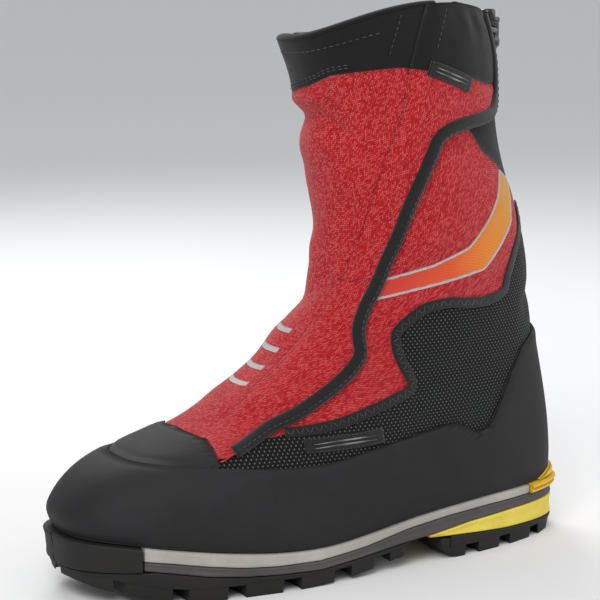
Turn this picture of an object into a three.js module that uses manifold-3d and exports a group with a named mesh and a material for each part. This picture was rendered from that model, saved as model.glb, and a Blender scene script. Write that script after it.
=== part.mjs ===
// Mountaineering boot with a built-in gaiter, left foot.
// Millimetres, +Z up, toe towards -Y, outer (lateral) side towards +X.
import * as THREE from 'three';
import Module from 'manifold-3d';

const wasm = await Module();
wasm.setup();
const { Manifold, Mesh: MMesh } = wasm;

// ---------- driving dimensions ----------
const LENGTH_SCALE = 1.0;      // stretches the boot along Y about the ankle
const HEIGHT_SCALE = 1.0;      // stretches the shaft above the ankle bone
const WIDTH_SCALE = 1.0;       // widens the upper and the sole together
const GAP = 0.3;               // clearance between touching pieces
const FABRIC = 1.6;            // gaiter fabric thickness
const RAND = 2.6;              // rubber rand thickness
const FLAP = 1.4;              // storm flap thickness
const FLAP_LIFT = 1.0;         // space under the storm flap
const LINER = 3.0;             // inner boot padding thickness
const LINER_FOOT = 5.0;        // depth of the inner boot below the fabric, foot
const LINER_SHAFT = 8.9;       // the same in the shaft, behind the zip
const WELT_OUT = 5.0;          // sole edge beyond the upper
const LEDGE_OUT = 8.0;         // crampon ledges beyond the upper
const ZIP_SLOT = 6.6;          // half width of the opening over the zip
const ZIP_TAPE = 8.2;          // half width of the zip tape
const CORD_D = 2.6;            // drawcord diameter
const LOCK_R = 7.0;            // cord lock barrel radius
const LOCK_H = 18.5;           // cord lock barrel height
const COLS = 20;               // columns round the upper
// rows of the shared grid, in stations: close together round the foot, wider up the shaft
const ROW_T = [0, 0.5, 1, 1.5, 2, 2.5, 3, 3.5, 4, 4.5, 5, 5.5, 6, 7, 8, 9, 10, 11];

// ---------- shape of the upper ----------
// One row per station: front profile y z, back profile y z, half width outer and inner side,
// roundness, taper towards the toe, toe shift, how much the sole curve lifts it, crown.
const STATIONS = [
  [-151, 37, 155, 33, 47, 44, 0.70, 0.14, 10, 1.0, 0],
  [-153, 50, 155, 48, 52, 49, 0.72, 0.14, 10, 1.0, 0],
  [-133, 68, 153, 72, 51, 48, 0.74, 0.14, 10, 0.7, 0],
  [-84, 84, 149, 94, 48, 45, 0.78, 0.12, 9, 0.4, 0],
  [-60, 99, 145, 114, 44, 41, 0.82, 0.06, 6, 0.15, 0],
  [-31, 120, 142, 136, 43, 40, 0.86, 0.00, 3, 0.0, 0],
  [-7, 148, 138, 162, 44, 41, 0.90, -0.03, 0, 0.0, 0],
  [4, 184, 130, 192, 46, 43, 0.93, -0.05, 0, 0.0, 0],
  [-1, 220, 118, 224, 47, 45, 0.95, -0.05, 0, 0.0, 0],
  [-4, 254, 109, 258, 49, 47, 0.95, -0.04, 0, 0.0, 2],
  [-12, 280, 105, 288, 50, 48, 0.95, -0.03, 0, 0.0, 9],
  [-19, 296, 100, 306, 48, 46, 0.95, -0.02, 0, 0.0, 15],
];
const TOP = STATIONS.length - 1;
const INNER_CROWN = -0.35;      // share of the outer side's rise that the inner side of the collar dips by
// top of the sole, z over y
const SOLE_TOP = [[-162, 36], [-133, 33.5], [-105, 29.5], [-77, 25.5], [-49, 22.5], [-21, 21.8],
  [8, 24.6], [38, 28.4], [68, 31.2], [98, 32.8], [130, 33], [162, 33]];

const clamp = (v, a, b) => Math.min(b, Math.max(a, v));

function spline(values, t) {
  const n = values.length;
  const i = clamp(Math.floor(t), 0, n - 2);
  const f = t - i;
  const g = (k) => {
    if (k < 0) return 2 * values[0] - values[1];
    if (k > n - 1) return 2 * values[n - 1] - values[n - 2];
    return values[k];
  };
  const [a, b, c, d] = [g(i - 1), g(i), g(i + 1), g(i + 2)];
  return b + 0.5 * f * (c - a + f * (2 * a - 5 * b + 4 * c - d + f * (3 * (b - c) + d - a)));
}

function line(points, x) {
  if (x <= points[0][0]) return points[0][1];
  for (let i = 1; i < points.length; i += 1) {
    const [x0, y0] = points[i - 1];
    const [x1, y1] = points[i];
    if (x <= x1) return y0 + (y1 - y0) * (x - x0) / (x1 - x0);
  }
  return points[points.length - 1][1];
}

function smoothLine(points, x) {
  const ks = points.map((p, i) => [p[0], i]);
  return spline(points.map((p) => p[1]), line(ks, x));
}

// middle of the finished boot in the working frame, and the point the scaling leaves still
const CENTRE_X = 0.6;
const CENTRE_Y = 2.0;
const ANKLE_Y = 60;
const ANKLE_Z = 150;
function scaled([x, y, z]) {
  const zz = z > ANKLE_Z ? ANKLE_Z + (z - ANKLE_Z) * HEIGHT_SCALE : z;
  return [x * WIDTH_SCALE, ANKLE_Y + (y - ANKLE_Y) * LENGTH_SCALE, zz];
}

// point of the upper: t = station number, deg = angle round it, 0 at the toe, + to the outer side
function rawSurf(t, deg) {
  const a = deg * Math.PI / 180;
  const c = Math.cos(a);
  const s = Math.sin(a);
  const q = (1 - c) / 2;
  const v = [];
  for (let k = 0; k < 11; k += 1) v.push(spline(STATIONS.map((r) => r[k]), t));
  const [fy, fz, by, bz, wl, wm, p, taper, shift, fade, crown] = v;
  const y = fy * (1 - q) + by * q;
  let z = fz * (1 - q) + bz * q + crown * s * s * (s > 0 ? 1 : INNER_CROWN);
  const y0 = STATIONS[0][0] * (1 - q) + STATIONS[0][2] * q;
  const z0 = STATIONS[0][1] * (1 - q) + STATIONS[0][3] * q;
  z += fade * (smoothLine(SOLE_TOP, y0) - z0);
  const waist = (s >= 0 ? 0.06 : 0.12) * Math.exp(-(((q - 0.62) / 0.16) ** 2)) * fade;
  const w = s >= 0 ? wl : wm;
  const x = Math.sign(s) * w * Math.abs(s) ** p * (1 + taper * c) * (1 - waist)
    - shift * Math.max(c, 0) ** 2;
  return [x, y, z];
}
const surf = (t, deg) => new THREE.Vector3(...scaled(rawSurf(t, deg)));

function normal(t, deg) {
  const du = surf(t + 0.05, deg).sub(surf(t - 0.05, deg));
  const dv = surf(t, deg + 2).sub(surf(t, deg - 2));
  const n = new THREE.Vector3().crossVectors(dv, du);
  if (t < 0.02) n.z = 0;
  return n.normalize();
}
const at = (t, deg, off) => surf(t, deg).addScaledVector(normal(t, deg), off);

// ---------- mesh helpers ----------
function soup() {
  const verts = [];
  const index = new Map();
  const tris = [];
  const id = (p) => {
    const key = `${Math.round(p.x * 2e4)},${Math.round(p.y * 2e4)},${Math.round(p.z * 2e4)}`;
    if (!index.has(key)) {
      index.set(key, verts.length);
      verts.push(p.clone());
    }
    return index.get(key);
  };
  const tri = (a, b, c) => {
    const [i, j, k] = [id(a), id(b), id(c)];
    if (i !== j && j !== k && i !== k) tris.push([i, j, k]);
  };
  const quad = (a, b, c, d) => {
    tri(a, b, c);
    tri(a, c, d);
  };
  return { verts, tris, tri, quad };
}

function geometry(s) {
  let vol = 0;
  for (const [i, j, k] of s.tris) {
    vol += s.verts[i].dot(new THREE.Vector3().crossVectors(s.verts[j], s.verts[k]));
  }
  const g = new THREE.BufferGeometry();
  g.setAttribute('position', new THREE.Float32BufferAttribute(s.verts.flatMap((p) => [p.x, p.y, p.z]), 3));
  g.setIndex((vol < 0 ? s.tris.map(([a, b, c]) => [a, c, b]) : s.tris).flat());
  return g;
}

function toManifold(g) {
  const mesh = new MMesh({
    numProp: 3,
    vertProperties: new Float32Array(g.attributes.position.array),
    triVerts: new Uint32Array(g.index.array),
  });
  return Manifold.ofMesh(mesh);
}

function fromManifold(m) {
  const mesh = m.getMesh();
  const g = new THREE.BufferGeometry();
  g.setAttribute('position', new THREE.Float32BufferAttribute(mesh.vertProperties, 3));
  g.setIndex(Array.from(mesh.triVerts));
  return g;
}

// grid of the upper shared by every patch, so that neighbouring layers never cross
const node = (r, c) => {
  const t = ROW_T[r];
  const deg = c * 360 / COLS;
  return { t, deg, p: surf(t, deg), n: normal(t, deg) };
};
const mix = (a, b, f) => ({
  t: a.t + (b.t - a.t) * f,
  deg: a.deg + (b.deg - a.deg) * f,
  p: a.p.clone().lerp(b.p, f),
  n: a.n.clone().lerp(b.n, f),
  f: a.f.map((x, i) => x + (b.f[i] - x) * f),
});

function cut(poly, k) {
  const out = [];
  const val = poly.map((v) => v.f[k]);
  for (let i = 0; i < poly.length; i += 1) {
    const j = (i + 1) % poly.length;
    if (val[i] >= 0) out.push(poly[i]);
    if ((val[i] >= 0) !== (val[j] >= 0)) out.push(mix(poly[i], poly[j], val[i] / (val[i] - val[j])));
  }
  return out;
}

// layer of the upper between two offsets, t0..t1 by deg0..deg1, cut by fields that stay >= 0
function patch({ t = [0, TOP], deg, inner, outer, keep = [] }) {
  const s = soup();
  const step = 360 / COLS;
  const c0 = Math.floor(deg[0] / step) - 1;
  const c1 = Math.ceil(deg[1] / step) + 1;
  const fields = [
    (v) => (v.t - t[0]) * 12, (v) => (t[1] - v.t) * 12,
    (v) => v.deg - deg[0], (v) => deg[1] - v.deg, ...keep,
  ];
  const corner = (r, c) => {
    const v = node(r, c);
    v.f = fields.map((f) => f(v));
    return v;
  };
  const lo = typeof inner === 'function' ? inner : () => inner;
  const hi = typeof outer === 'function' ? outer : () => outer;
  const edges = new Map();
  const key = (v) => `${Math.round(v.p.x * 5e3)},${Math.round(v.p.y * 5e3)},${Math.round(v.p.z * 5e3)}`;
  const polys = [];
  for (let r = 0; r < ROW_T.length - 1; r += 1) {
    if (ROW_T[r + 1] <= t[0] || ROW_T[r] >= t[1]) continue;
    for (let c = c0; c < c1; c += 1) {
      const [a, b, d, e] = [[r, c], [r, c + 1], [r + 1, c + 1], [r + 1, c]].map((rc) => corner(...rc));
      for (const start of [[a, b, d], [a, d, e]]) {
        let poly = start;
        for (let k = 0; k < fields.length; k += 1) if (poly.length) poly = cut(poly, k);
        poly = poly.filter((v, i) => key(v) !== key(poly[(i + 1) % poly.length]));
        if (poly.length >= 3) polys.push(poly);
      }
    }
  }
  const low = (v) => v.p.clone().addScaledVector(v.n, lo(v));
  const high = (v) => v.p.clone().addScaledVector(v.n, hi(v));
  for (const poly of polys) {
    for (let i = 1; i < poly.length - 1; i += 1) {
      s.tri(high(poly[0]), high(poly[i]), high(poly[i + 1]));
      s.tri(low(poly[0]), low(poly[i + 1]), low(poly[i]));
    }
    for (let i = 0; i < poly.length; i += 1) {
      const [a, b] = [poly[i], poly[(i + 1) % poly.length]];
      const back = `${key(b)}|${key(a)}`;
      if (edges.has(back)) edges.delete(back);
      else edges.set(`${key(a)}|${key(b)}`, [a, b]);
    }
  }
  for (const [a, b] of edges.values()) s.quad(low(a), low(b), high(b), high(a));
  return geometry(s);
}

// fields that cut a patch
const above = (pts, gap = 0) => (v) => (v.t - line(pts, v.deg)) * 12 - gap;
const below = (pts, gap = 0) => (v) => (line(pts, v.deg) - v.t) * 12 - gap;
const rightOf = (pts, gap = 0) => (v) => (v.deg - line(pts, v.t)) * 0.85 - gap;
const leftOf = (pts, gap = 0) => (v) => (line(pts, v.t) - v.deg) * 0.85 - gap;

// rectangular or round section swept along frames {p, u, v}; u is across, v is outward
function sweep(frames, section, closed = false) {
  const s = soup();
  const ring = frames.map((f) => section.map(([a, b]) => f.p.clone().addScaledVector(f.u, a)
    .addScaledVector(f.v, b)));
  const n = section.length;
  const m = frames.length;
  for (let i = 0; i < (closed ? m : m - 1); i += 1) {
    const [a, b] = [ring[i], ring[(i + 1) % m]];
    for (let k = 0; k < n; k += 1) s.quad(a[k], a[(k + 1) % n], b[(k + 1) % n], b[k]);
  }
  if (!closed) {
    for (let k = 1; k < n - 1; k += 1) {
      s.tri(ring[0][0], ring[0][k + 1], ring[0][k]);
      s.tri(ring[m - 1][0], ring[m - 1][k], ring[m - 1][k + 1]);
    }
  }
  return geometry(s);
}
const circle = (r, n = 8) => Array.from({ length: n }, (_, i) => [
  r * Math.cos(2 * Math.PI * i / n), r * Math.sin(2 * Math.PI * i / n)]);
const rect = (w, lo, hi) => [[-w / 2, lo], [w / 2, lo], [w / 2, hi], [-w / 2, hi]];

// frames along a curve drawn on the upper; pts are [t, deg]
function along(pts, steps, closed = false) {
  const ts = pts.map((p) => p[0]);
  const ds = pts.map((p) => p[1]);
  const n = closed ? steps : steps + 1;
  const pos = Array.from({ length: n }, (_, i) => {
    const k = i * (pts.length - 1) / steps;
    return [spline(ts, k), spline(ds, k)];
  });
  return pos.map(([t, deg], i) => {
    const a = pos[closed ? (i - 1 + n) % n : Math.max(0, i - 1)];
    const b = pos[closed ? (i + 1) % n : Math.min(n - 1, i + 1)];
    const tan = surf(b[0], b[1]).sub(surf(a[0], a[1])).normalize();
    const v = normal(t, deg);
    const u = new THREE.Vector3().crossVectors(v, tan).normalize();
    return { p: surf(t, deg), u, v: new THREE.Vector3().crossVectors(tan, u).normalize() };
  });
}

// ---------- sole helpers ----------
// plan point of the sole edge at angle deg, out beyond the upper
function edge(deg, out) {
  const p = surf(0, deg);
  const n = normal(0, deg);
  return new THREE.Vector3(p.x + n.x * out, p.y + n.y * out, 0);
}
// point across the sole at angle deg: u = -1 inner edge, +1 outer edge
function across(deg, u, out) {
  const l = edge(deg, out);
  const m = edge(-deg, out);
  return m.lerp(l, (u + 1) / 2);
}
// plate of the sole between two heights over y
function plate({ out, deg, top, bottom, outBottom = out }) {
  const s = soup();
  const rows = [];
  const angles = [deg[0]];
  for (let d = 0; d < 180; d += 6) if (d > deg[0] + 1 && d < deg[1] - 1) angles.push(d);
  angles.push(deg[1]);
  const n = angles.length - 1;
  for (let i = 0; i <= n; i += 1) {
    const d = angles[i];
    rows.push([[-1, 1].map((u) => {
      const p = across(d, u, out);
      return new THREE.Vector3(p.x, p.y, top(p.y));
    }), [-1, 1].map((u) => {
      const p = across(d, u, outBottom);
      return new THREE.Vector3(p.x, p.y, bottom(p.y));
    })]);
  }
  for (let i = 0; i < n; i += 1) {
    const [[am, al], [bm, bl]] = rows[i];
    const [[cm, cl], [dm, dl]] = rows[i + 1];
    s.quad(am, al, cl, cm);
    s.quad(bm, dm, dl, bl);
    s.quad(al, bl, dl, cl);
    s.quad(am, cm, dm, bm);
  }
  const [[fm, fl], [gm, gl]] = rows[0];
  s.quad(fm, gm, gl, fl);
  const [[hm, hl], [im, il]] = rows[n];
  s.quad(hm, hl, il, im);
  return geometry(s);
}
// lug: a block under the sole, deg range by u range, skewed by skew degrees across
function lug({ out, deg, u, top, bottom, skew = 0, n = 2 }) {
  const s = soup();
  const grid = [];
  for (let i = 0; i <= n; i += 1) {
    const d = deg[0] + (deg[1] - deg[0]) * i / n;
    grid.push(u.map((w) => {
      const p = across(d + skew * w, w, out);
      return [new THREE.Vector3(p.x, p.y, top(p.y)), new THREE.Vector3(p.x, p.y, bottom(p.y))];
    }));
  }
  for (let i = 0; i < n; i += 1) {
    const [[a, b], [c, d]] = grid[i];
    const [[e, f], [g, h]] = grid[i + 1];
    s.quad(a, c, g, e);
    s.quad(b, f, h, d);
    s.quad(a, e, f, b);
    s.quad(c, d, h, g);
  }
  const [[a, b], [c, d]] = grid[0];
  s.quad(a, b, d, c);
  const [[e, f], [g, h]] = grid[n];
  s.quad(e, g, h, f);
  return geometry(s);
}

// ---------- materials and group ----------
const group = new THREE.Group();
group.name = 'mountaineering_boot';
const MATERIAL = {};
for (const [name, color, rough, metal] of [
  ['red_fabric', 0xb9232d, 0.9, 0], ['black_fabric', 0x1b1b1c, 0.92, 0],
  ['dotted_fabric', 0x2c2d2f, 0.9, 0], ['rand_rubber', 0x2d2d2f, 0.85, 0],
  ['outsole_rubber', 0x282624, 0.8, 0], ['cushion_foam', 0x5a5555, 0.85, 0],
  ['welt_foam', 0xb9b7ac, 0.8, 0], ['yellow_foam', 0xdec84b, 0.8, 0],
  ['yellow_plastic', 0xe2b828, 0.5, 0], ['binding_tape', 0x161617, 0.85, 0],
  ['liner_fabric', 0x3a3b3d, 0.95, 0], ['board', 0x8a7a5c, 0.9, 0],
  ['shank_plastic', 0x202428, 0.4, 0], ['zip_tape_fabric', 0x202021, 0.9, 0],
  ['zip_metal', 0x55565a, 0.35, 1], ['lock_plastic', 0x0d0d0e, 0.2, 0],
  ['spring_steel', 0xb0b2b5, 0.3, 1], ['cord_grey', 0x77776f, 0.9, 0],
  ['label_black', 0x101011, 0.6, 0],
]) {
  MATERIAL[name] = new THREE.MeshStandardMaterial({ color, roughness: rough, metalness: metal, name });
}
function add(name, geo, material) {
  const mesh = new THREE.Mesh(geo, MATERIAL[material]);
  mesh.name = name;
  mesh.position.set(-CENTRE_X, -CENTRE_Y, 0);
  group.add(mesh);
  return mesh;
}

// ---------- sole heights over y ----------
const TOE_SPLIT = 36;     // angle where the toe ledge meets the cushion layers
const HEEL_SPLIT = 144;   // angle where the heel ledge meets the welt layer
const ARCH_SPLIT = 102;   // angle where the forefoot tread ends
const WEDGE_START = 108;  // angle where the heel wedge starts
const HEEL_TREAD = 114;   // angle where the heel tread starts
const WEDGE_FRONT = edge(WEDGE_START, WELT_OUT).y - 3;
const soleTop = (y) => smoothLine(SOLE_TOP, ANKLE_Y + (y - ANKLE_Y) / LENGTH_SCALE);
const over = (pts) => (y) => line(pts, ANKLE_Y + (y - ANKLE_Y) / LENGTH_SCALE);
const weltTop = (y) => soleTop(y) - 0.5;
const weltBottom = over([[-128, 25], [-111, 22.9], [-91, 19.6], [-71, 16.8], [-52, 15.4], [-26, 15],
  [4, 17.9], [34, 23.1], [64, 26.2], [92, 27.6], [130, 27.8]]);
const cushionTop = (y) => weltBottom(y) - GAP;
const cushionBottom = over([[-128, 20], [-109, 17.2], [-91, 14], [-71, 11.8], [-52, 10.6], [-26, 9.6],
  [4, 12.4], [34, 15.6], [46, 16.4], [54, 17.1], [79, 20.2], [109, 21.6], [130, 21.8]]);
const wedgeBottom = over([[44, 15.6], [56, 14.6], [79, 13], [109, 11], [160, 9.4]]);
const treadTop = (y) => (y < WEDGE_FRONT ? Math.min(cushionBottom(y), 18.6) : wedgeBottom(y)) - GAP;
const ground = over([[-162, 15], [-145, 9.5], [-130, 5], [-115, 2], [-100, 0.4], [-92, 0], [-34, 0],
  [-15, 1], [5, 3.2], [25, 6.5], [45, 9], [60, 8], [66, 0], [146, 0], [160, 3]]);
const treadBottom = (y) => Math.min(treadTop(y) - 2.6, ground(y) + 7.2);
const heelTreadBottom = (y) => Math.min(treadTop(y) - 2.6, 6.4);

add('welt_layer', plate({ out: WELT_OUT, deg: [TOE_SPLIT, HEEL_SPLIT], top: weltTop, bottom: weltBottom }),
  'welt_foam');
add('cushion_layer', plate({
  out: WELT_OUT, deg: [TOE_SPLIT, 180], top: cushionTop, bottom: cushionBottom,
}), 'cushion_foam');
add('toe_ledge', plate({
  out: LEDGE_OUT, outBottom: LEDGE_OUT - 1.5, deg: [0, TOE_SPLIT - 0.6], top: weltTop,
  bottom: (y) => treadTop(y) + GAP,
}), 'outsole_rubber');
add('heel_ledge', plate({
  out: LEDGE_OUT, outBottom: LEDGE_OUT - 1, deg: [HEEL_SPLIT + 0.6, 180], top: weltTop,
  bottom: weltBottom,
}), 'yellow_plastic');
const wedgeTop = (y) => cushionBottom(y) - GAP;
add('heel_wedge', plate({
  out: WELT_OUT, deg: [WEDGE_START, 180], top: wedgeTop,
  bottom: (y) => treadTop(y) + GAP,
}), 'yellow_foam');

// tread: base plate with lugs joined to it
function tread(base, lugs) {
  let m = toManifold(base);
  for (const l of lugs) m = m.add(toManifold(l));
  return fromManifold(m);
}
const lugs = [];
// outer and inner edge lugs of the forefoot: [start, end, inward reach]
const EDGE_LUGS = [[2, 26, 0.42], [30, 44, 0.45], [48, 58, 0.42], [62, 71, 0.42], [75, 83, 0.44],
  [87, 93, 0.46], [97, 101, 0.5]];
for (const [a, b, reach] of EDGE_LUGS) {
  for (const side of [1, -1]) {
    const u = side > 0 ? [1 - reach * 1.1, 1] : [-1, -1 + reach * 1.1];
    lugs.push(lug({
      out: WELT_OUT - 0.5, deg: [a, b], u, skew: 0, top: (y) => treadTop(y) - 1.2, bottom: ground,
    }));
  }
}
// centre lugs
for (const [a, b] of [[34, 44], [51, 59], [65, 72], [78, 84]]) {
  lugs.push(lug({
    out: WELT_OUT, deg: [a, b], u: [-0.38, 0.38], skew: 4, top: (y) => treadTop(y) - 1.2, bottom: ground,
  }));
}
add('outsole_forefoot', tread(plate({
  out: WELT_OUT, outBottom: WELT_OUT - 0.4, deg: [0, ARCH_SPLIT], top: treadTop, bottom: treadBottom,
}), lugs), 'outsole_rubber');
const heelLugs = [];
for (const [a, b] of [[111, 119], [123, 131], [135, 146], [151, 178]]) {
  for (const side of [1, -1]) {
    const u = side > 0 ? [0.36, 1] : [-1, -0.36];
    heelLugs.push(lug({
      out: WELT_OUT - 0.5, deg: [a, b], u, top: (y) => treadTop(y) - 1.2, bottom: ground, n: 3,
    }));
  }
}
add('outsole_heel', tread(plate({
  out: WELT_OUT, outBottom: WELT_OUT - 0.4, deg: [HEEL_TREAD, 180],
  top: (y) => treadTop(y), bottom: heelTreadBottom,
}), heelLugs), 'outsole_rubber');

// ---------- under the foot ----------
const FOOT_ROOM = LINER_FOOT + LINER;      // inner face of the inner boot, below the fabric
// the flat facets of the inner boot cut in further as it grows
const FACET = Math.max(LENGTH_SCALE, WIDTH_SCALE);
add('lasting_board', plate({
  out: -(FOOT_ROOM + 1.8 * FACET), deg: [0, 180], top: (y) => soleTop(y) + 1.8, bottom: (y) => soleTop(y) - 0.2,
}), 'board');
add('shank_plate', lug({
  out: -8.6, deg: [72, 132], u: [-0.45, 0.45], top: (y) => soleTop(y) + 3.3,
  bottom: (y) => soleTop(y) + 2.15, n: 10,
}), 'shank_plastic');
add('footbed', plate({
  out: -10.8, deg: [0, 180], top: (y) => soleTop(y) + 7, bottom: (y) => soleTop(y) + 3.7,
}), 'liner_fabric');

// ---------- lines drawn on the upper, as [deg, t] or [t, deg] ----------
const mirror = (pts) => pts.map(([t, d]) => [t, -d]);
// front seam where the flaps are sewn on
const SEAM = [[2.4, 17], [3.1, 16], [4.4, 15], [5.7, 16], [6.25, 17], [6.65, 25], [7.7, 44], [8.4, 56],
  [8.9, 64], [9.3, 69], [9.7, 73], [11.1, 92]];
// free edge of the flaps
const EDGE = [[2.3, 42.5], [2.62, 42], [2.85, 41.5], [3.25, 42.5], [3.65, 49], [4.05, 54], [4.4, 57],
  [4.76, 58], [5.06, 56.5], [5.36, 51.5], [5.64, 47.5], [5.96, 46], [6.28, 47.8], [6.66, 50.5], [6.92, 53.8], [7.2, 58],
  [7.48, 63], [7.74, 68.5], [8.02, 74.5], [8.29, 79.8], [8.55, 85], [8.68, 92], [8.76, 105],
  [8.84, 127], [9.05, 139], [9.3, 144], [9.8, 146], [11.1, 150]];
// taped seam between the red quarter and the dotted side panel
const TAPE = [[-0.5, 33], [2.2, 36], [3.0, 43], [3.14, 49], [3.28, 63], [3.52, 73], [3.75, 82], [3.87, 86],
  [4.02, 87], [4.28, 84], [4.88, 74], [5.23, 69], [5.42, 68], [5.62, 71], [5.8, 77], [5.82, 88], [5.72, 100],
  [5.68, 110], [5.78, 120], [6.1, 123], [6.6, 133], [6.9, 143], [7.28, 153], [7.8, 166], [8.2, 185]];
// rubber lines, [deg, t]
const RAND_TOP = [[40, 2.3], [47, 2.31], [63, 2.33], [74, 2.38], [84, 2.54], [94, 2.58], [105, 2.6],
  [112, 2.5], [121, 2.1], [128, 3.05], [133, 3.63], [141, 4.2], [152, 4.42], [180, 4.55]];
const CAP_TOP = [[-44, 2.33], [-36, 2.6], [-24, 2.9], [0, 3.04], [13, 2.99], [23, 2.9], [31, 2.72],
  [38, 2.54], [44, 2.33]];
// top of the quarters, where the stretch back panel begins, [deg, t]
const QUARTER_TOP = [[80, 11], [90, 9.8], [99, 9.4], [108, 8.66], [117, 8.31], [139, 7.93], [160, 7.6],
  [180, 7.5]];
// bottom of the collar, [deg, t]
const COLLAR = [[-180, 9.35], [-129, 9.33], [-90, 9.45], [-50, 9.45], [-20, 9.4], [10, 9.62], [27, 9.78],
  [40, 9.77], [68, 9.71], [90, 9.56], [129, 9.33], [180, 9.35], [231, 9.33], [270, 9.45], [310, 9.45]];
const HEM = TOP - 0.02;

// signed distance on the upper from a line given as [t, deg], + on the side of rising t
function sideOf(pts, gap) {
  const flat = pts.map(([t, d]) => [d * 0.85, t * 22]);
  return (v) => {
    const [x, y] = [v.deg * 0.85, v.t * 22];
    let best = Infinity;
    let sign = 1;
    for (let i = 1; i < flat.length; i += 1) {
      const [ax, ay] = flat[i - 1];
      const [bx, by] = flat[i];
      const [ex, ey] = [bx - ax, by - ay];
      const k = clamp(((x - ax) * ex + (y - ay) * ey) / (ex * ex + ey * ey), 0, 1);
      const d = Math.hypot(x - ax - k * ex, y - ay - k * ey);
      if (d < best - 1e-9) {
        best = d;
        sign = Math.sign(ex * (y - ay) - ey * (x - ax)) || 1;
      }
    }
    return sign * best - gap;
  };
}
const minus = (f, gap) => (v) => -f(v) - gap;
const H = GAP / 2;

// ---------- zip: an arc in a plane that stands square on the shaft ----------
const ZIP_A = [7.1, 43];
const ZIP_C = [10.4, 97];
const zipA = surf(...ZIP_A);
const zipC = surf(...ZIP_C);
const zipSide = new THREE.Vector3().crossVectors(zipC.clone().sub(zipA), normal(8.5, 68)).normalize();
if (zipSide.x + zipSide.y < 0) zipSide.negate();
const zipGap = (p) => p.clone().sub(zipA).dot(zipSide);
function zipAngle(t) {
  let [lo, hi] = [ZIP_A[1] - 25, ZIP_C[1] + 25];
  for (let i = 0; i < 40; i += 1) {
    const m = (lo + hi) / 2;
    if (zipGap(surf(t, m)) > 0) hi = m;
    else lo = m;
  }
  return (lo + hi) / 2;
}
const zipM = surf(8.5, zipAngle(8.5));
const zipChord = zipC.clone().sub(zipA).normalize();
const zipOut = new THREE.Vector3().crossVectors(zipSide, zipChord).normalize();
if (zipOut.dot(normal(8.5, 68)) < 0) zipOut.negate();
const half = zipC.distanceTo(zipA) / 2;
const mRel = zipM.clone().sub(zipA);
const [mx, my] = [mRel.dot(zipChord) - half, mRel.dot(zipOut)];
const zipDrop = (half * half - mx * mx - my * my) / (2 * my);
const ZIP_R = Math.hypot(half, zipDrop);
const zipCentre = zipA.clone().addScaledVector(zipChord, half).addScaledVector(zipOut, -zipDrop);
// point on the arc: s = mm along it from its middle, w = mm across, h = mm out from the fabric face
function zipPoint(s, w, h) {
  const a = s / ZIP_R;
  return zipCentre.clone().addScaledVector(zipChord, Math.sin(a) * (ZIP_R + h))
    .addScaledVector(zipOut, Math.cos(a) * (ZIP_R + h)).addScaledVector(zipSide, w);
}
function zipBar(s0, s1, w, h, n) {
  const frames = Array.from({ length: n + 1 }, (_, i) => {
    const s = s0 + (s1 - s0) * i / n;
    return { p: zipPoint(s, 0, 0), u: zipSide, v: zipPoint(s, 0, 1).sub(zipPoint(s, 0, 0)) };
  });
  return sweep(frames, [[w[0], h[0]], [w[1], h[0]], [w[1], h[1]], [w[0], h[1]]]);
}
const ZIP_HALF = ZIP_R * Math.asin(half / ZIP_R);
const ZIP_H = -5.0;          // mid height of the zip below the fabric face
const SLIDER_S = ZIP_HALF - 18;
// distance from the middle of the zip slot; below the zip it follows the flap line
const LOW_SEAM = [[2.0, 30], [3.0, 30], [4.5, 33], [5.9, 34]];
function slot(v) {
  const low = (v.deg - line(LOW_SEAM, v.t)) * 0.75;
  if (v.t < 5.8) return low;
  const mid = 34 + (v.t - 6.5) * 16;
  const d = Math.abs(v.deg - mid) < 75 ? zipGap(v.p) : Math.sign(v.deg - mid) * 60;
  const k = clamp((v.t - 5.8) / 0.4, 0, 1);
  return low * (1 - k) + d * k;
}
const slotHalf = (v) => H + (ZIP_SLOT - H) * clamp((v.t - 5.7) / 0.6, 0, 1);
const frontOfSlot = (v) => -slot(v) - slotHalf(v);
const rearOfSlot = (v) => slot(v) - slotHalf(v);

// ---------- gaiter shell ----------
const SHELL = { inner: -FABRIC, outer: 0 };
const BASE = 0.05;
add('front_panel', patch({
  ...SHELL, t: [BASE, 10.5], deg: [-55 + H, 125],
  keep: [frontOfSlot, sideOf(TAPE, H), minus(sideOf(mirror(TAPE), 0), H), below(COLLAR, H)],
}), 'red_fabric');
const lateralTop = (v) => Math.min(below(COLLAR, H)(v), below(QUARTER_TOP, H)(v));
const medialTop = (v) => Math.min(below(COLLAR, H)(v), below(QUARTER_TOP, H)({ t: v.t, deg: -v.deg }));
add('quarter_lateral', patch({
  ...SHELL, t: [BASE, 10.2], deg: [10, 179], keep: [rearOfSlot, sideOf(TAPE, H), lateralTop],
}), 'red_fabric');
add('quarter_medial', patch({
  ...SHELL, t: [BASE, 10.2], deg: [-179, -55 - H],
  keep: [minus(sideOf(mirror(TAPE), 0), H), medialTop],
}), 'red_fabric');
add('side_panel_lateral', patch({
  ...SHELL, t: [BASE, 9], deg: [20, 180 - H], keep: [minus(sideOf(TAPE, 0), H), below(QUARTER_TOP, H)],
}), 'dotted_fabric');
add('side_panel_medial', patch({
  ...SHELL, t: [BASE, 9], deg: [-180 + H, -20],
  keep: [sideOf(mirror(TAPE), H), (v) => below(QUARTER_TOP, H)({ t: v.t, deg: -v.deg })],
}), 'dotted_fabric');
const backTop = (v) => above(QUARTER_TOP, H)({ t: v.t, deg: v.deg > 180 ? 360 - v.deg : v.deg });
add('back_panel', patch({
  ...SHELL, t: [7, 10], deg: [99, 261], keep: [backTop, below(COLLAR, H), rearOfSlot],
}), 'black_fabric');
add('collar_front', patch({
  ...SHELL, t: [9, HEM], deg: [-99.8, 125], keep: [above(COLLAR, H), frontOfSlot],
}), 'black_fabric');
let collarRear = toManifold(patch({
  ...SHELL, t: [9, HEM], deg: [60, 259.8], keep: [above(COLLAR, H), rearOfSlot],
}));

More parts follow.
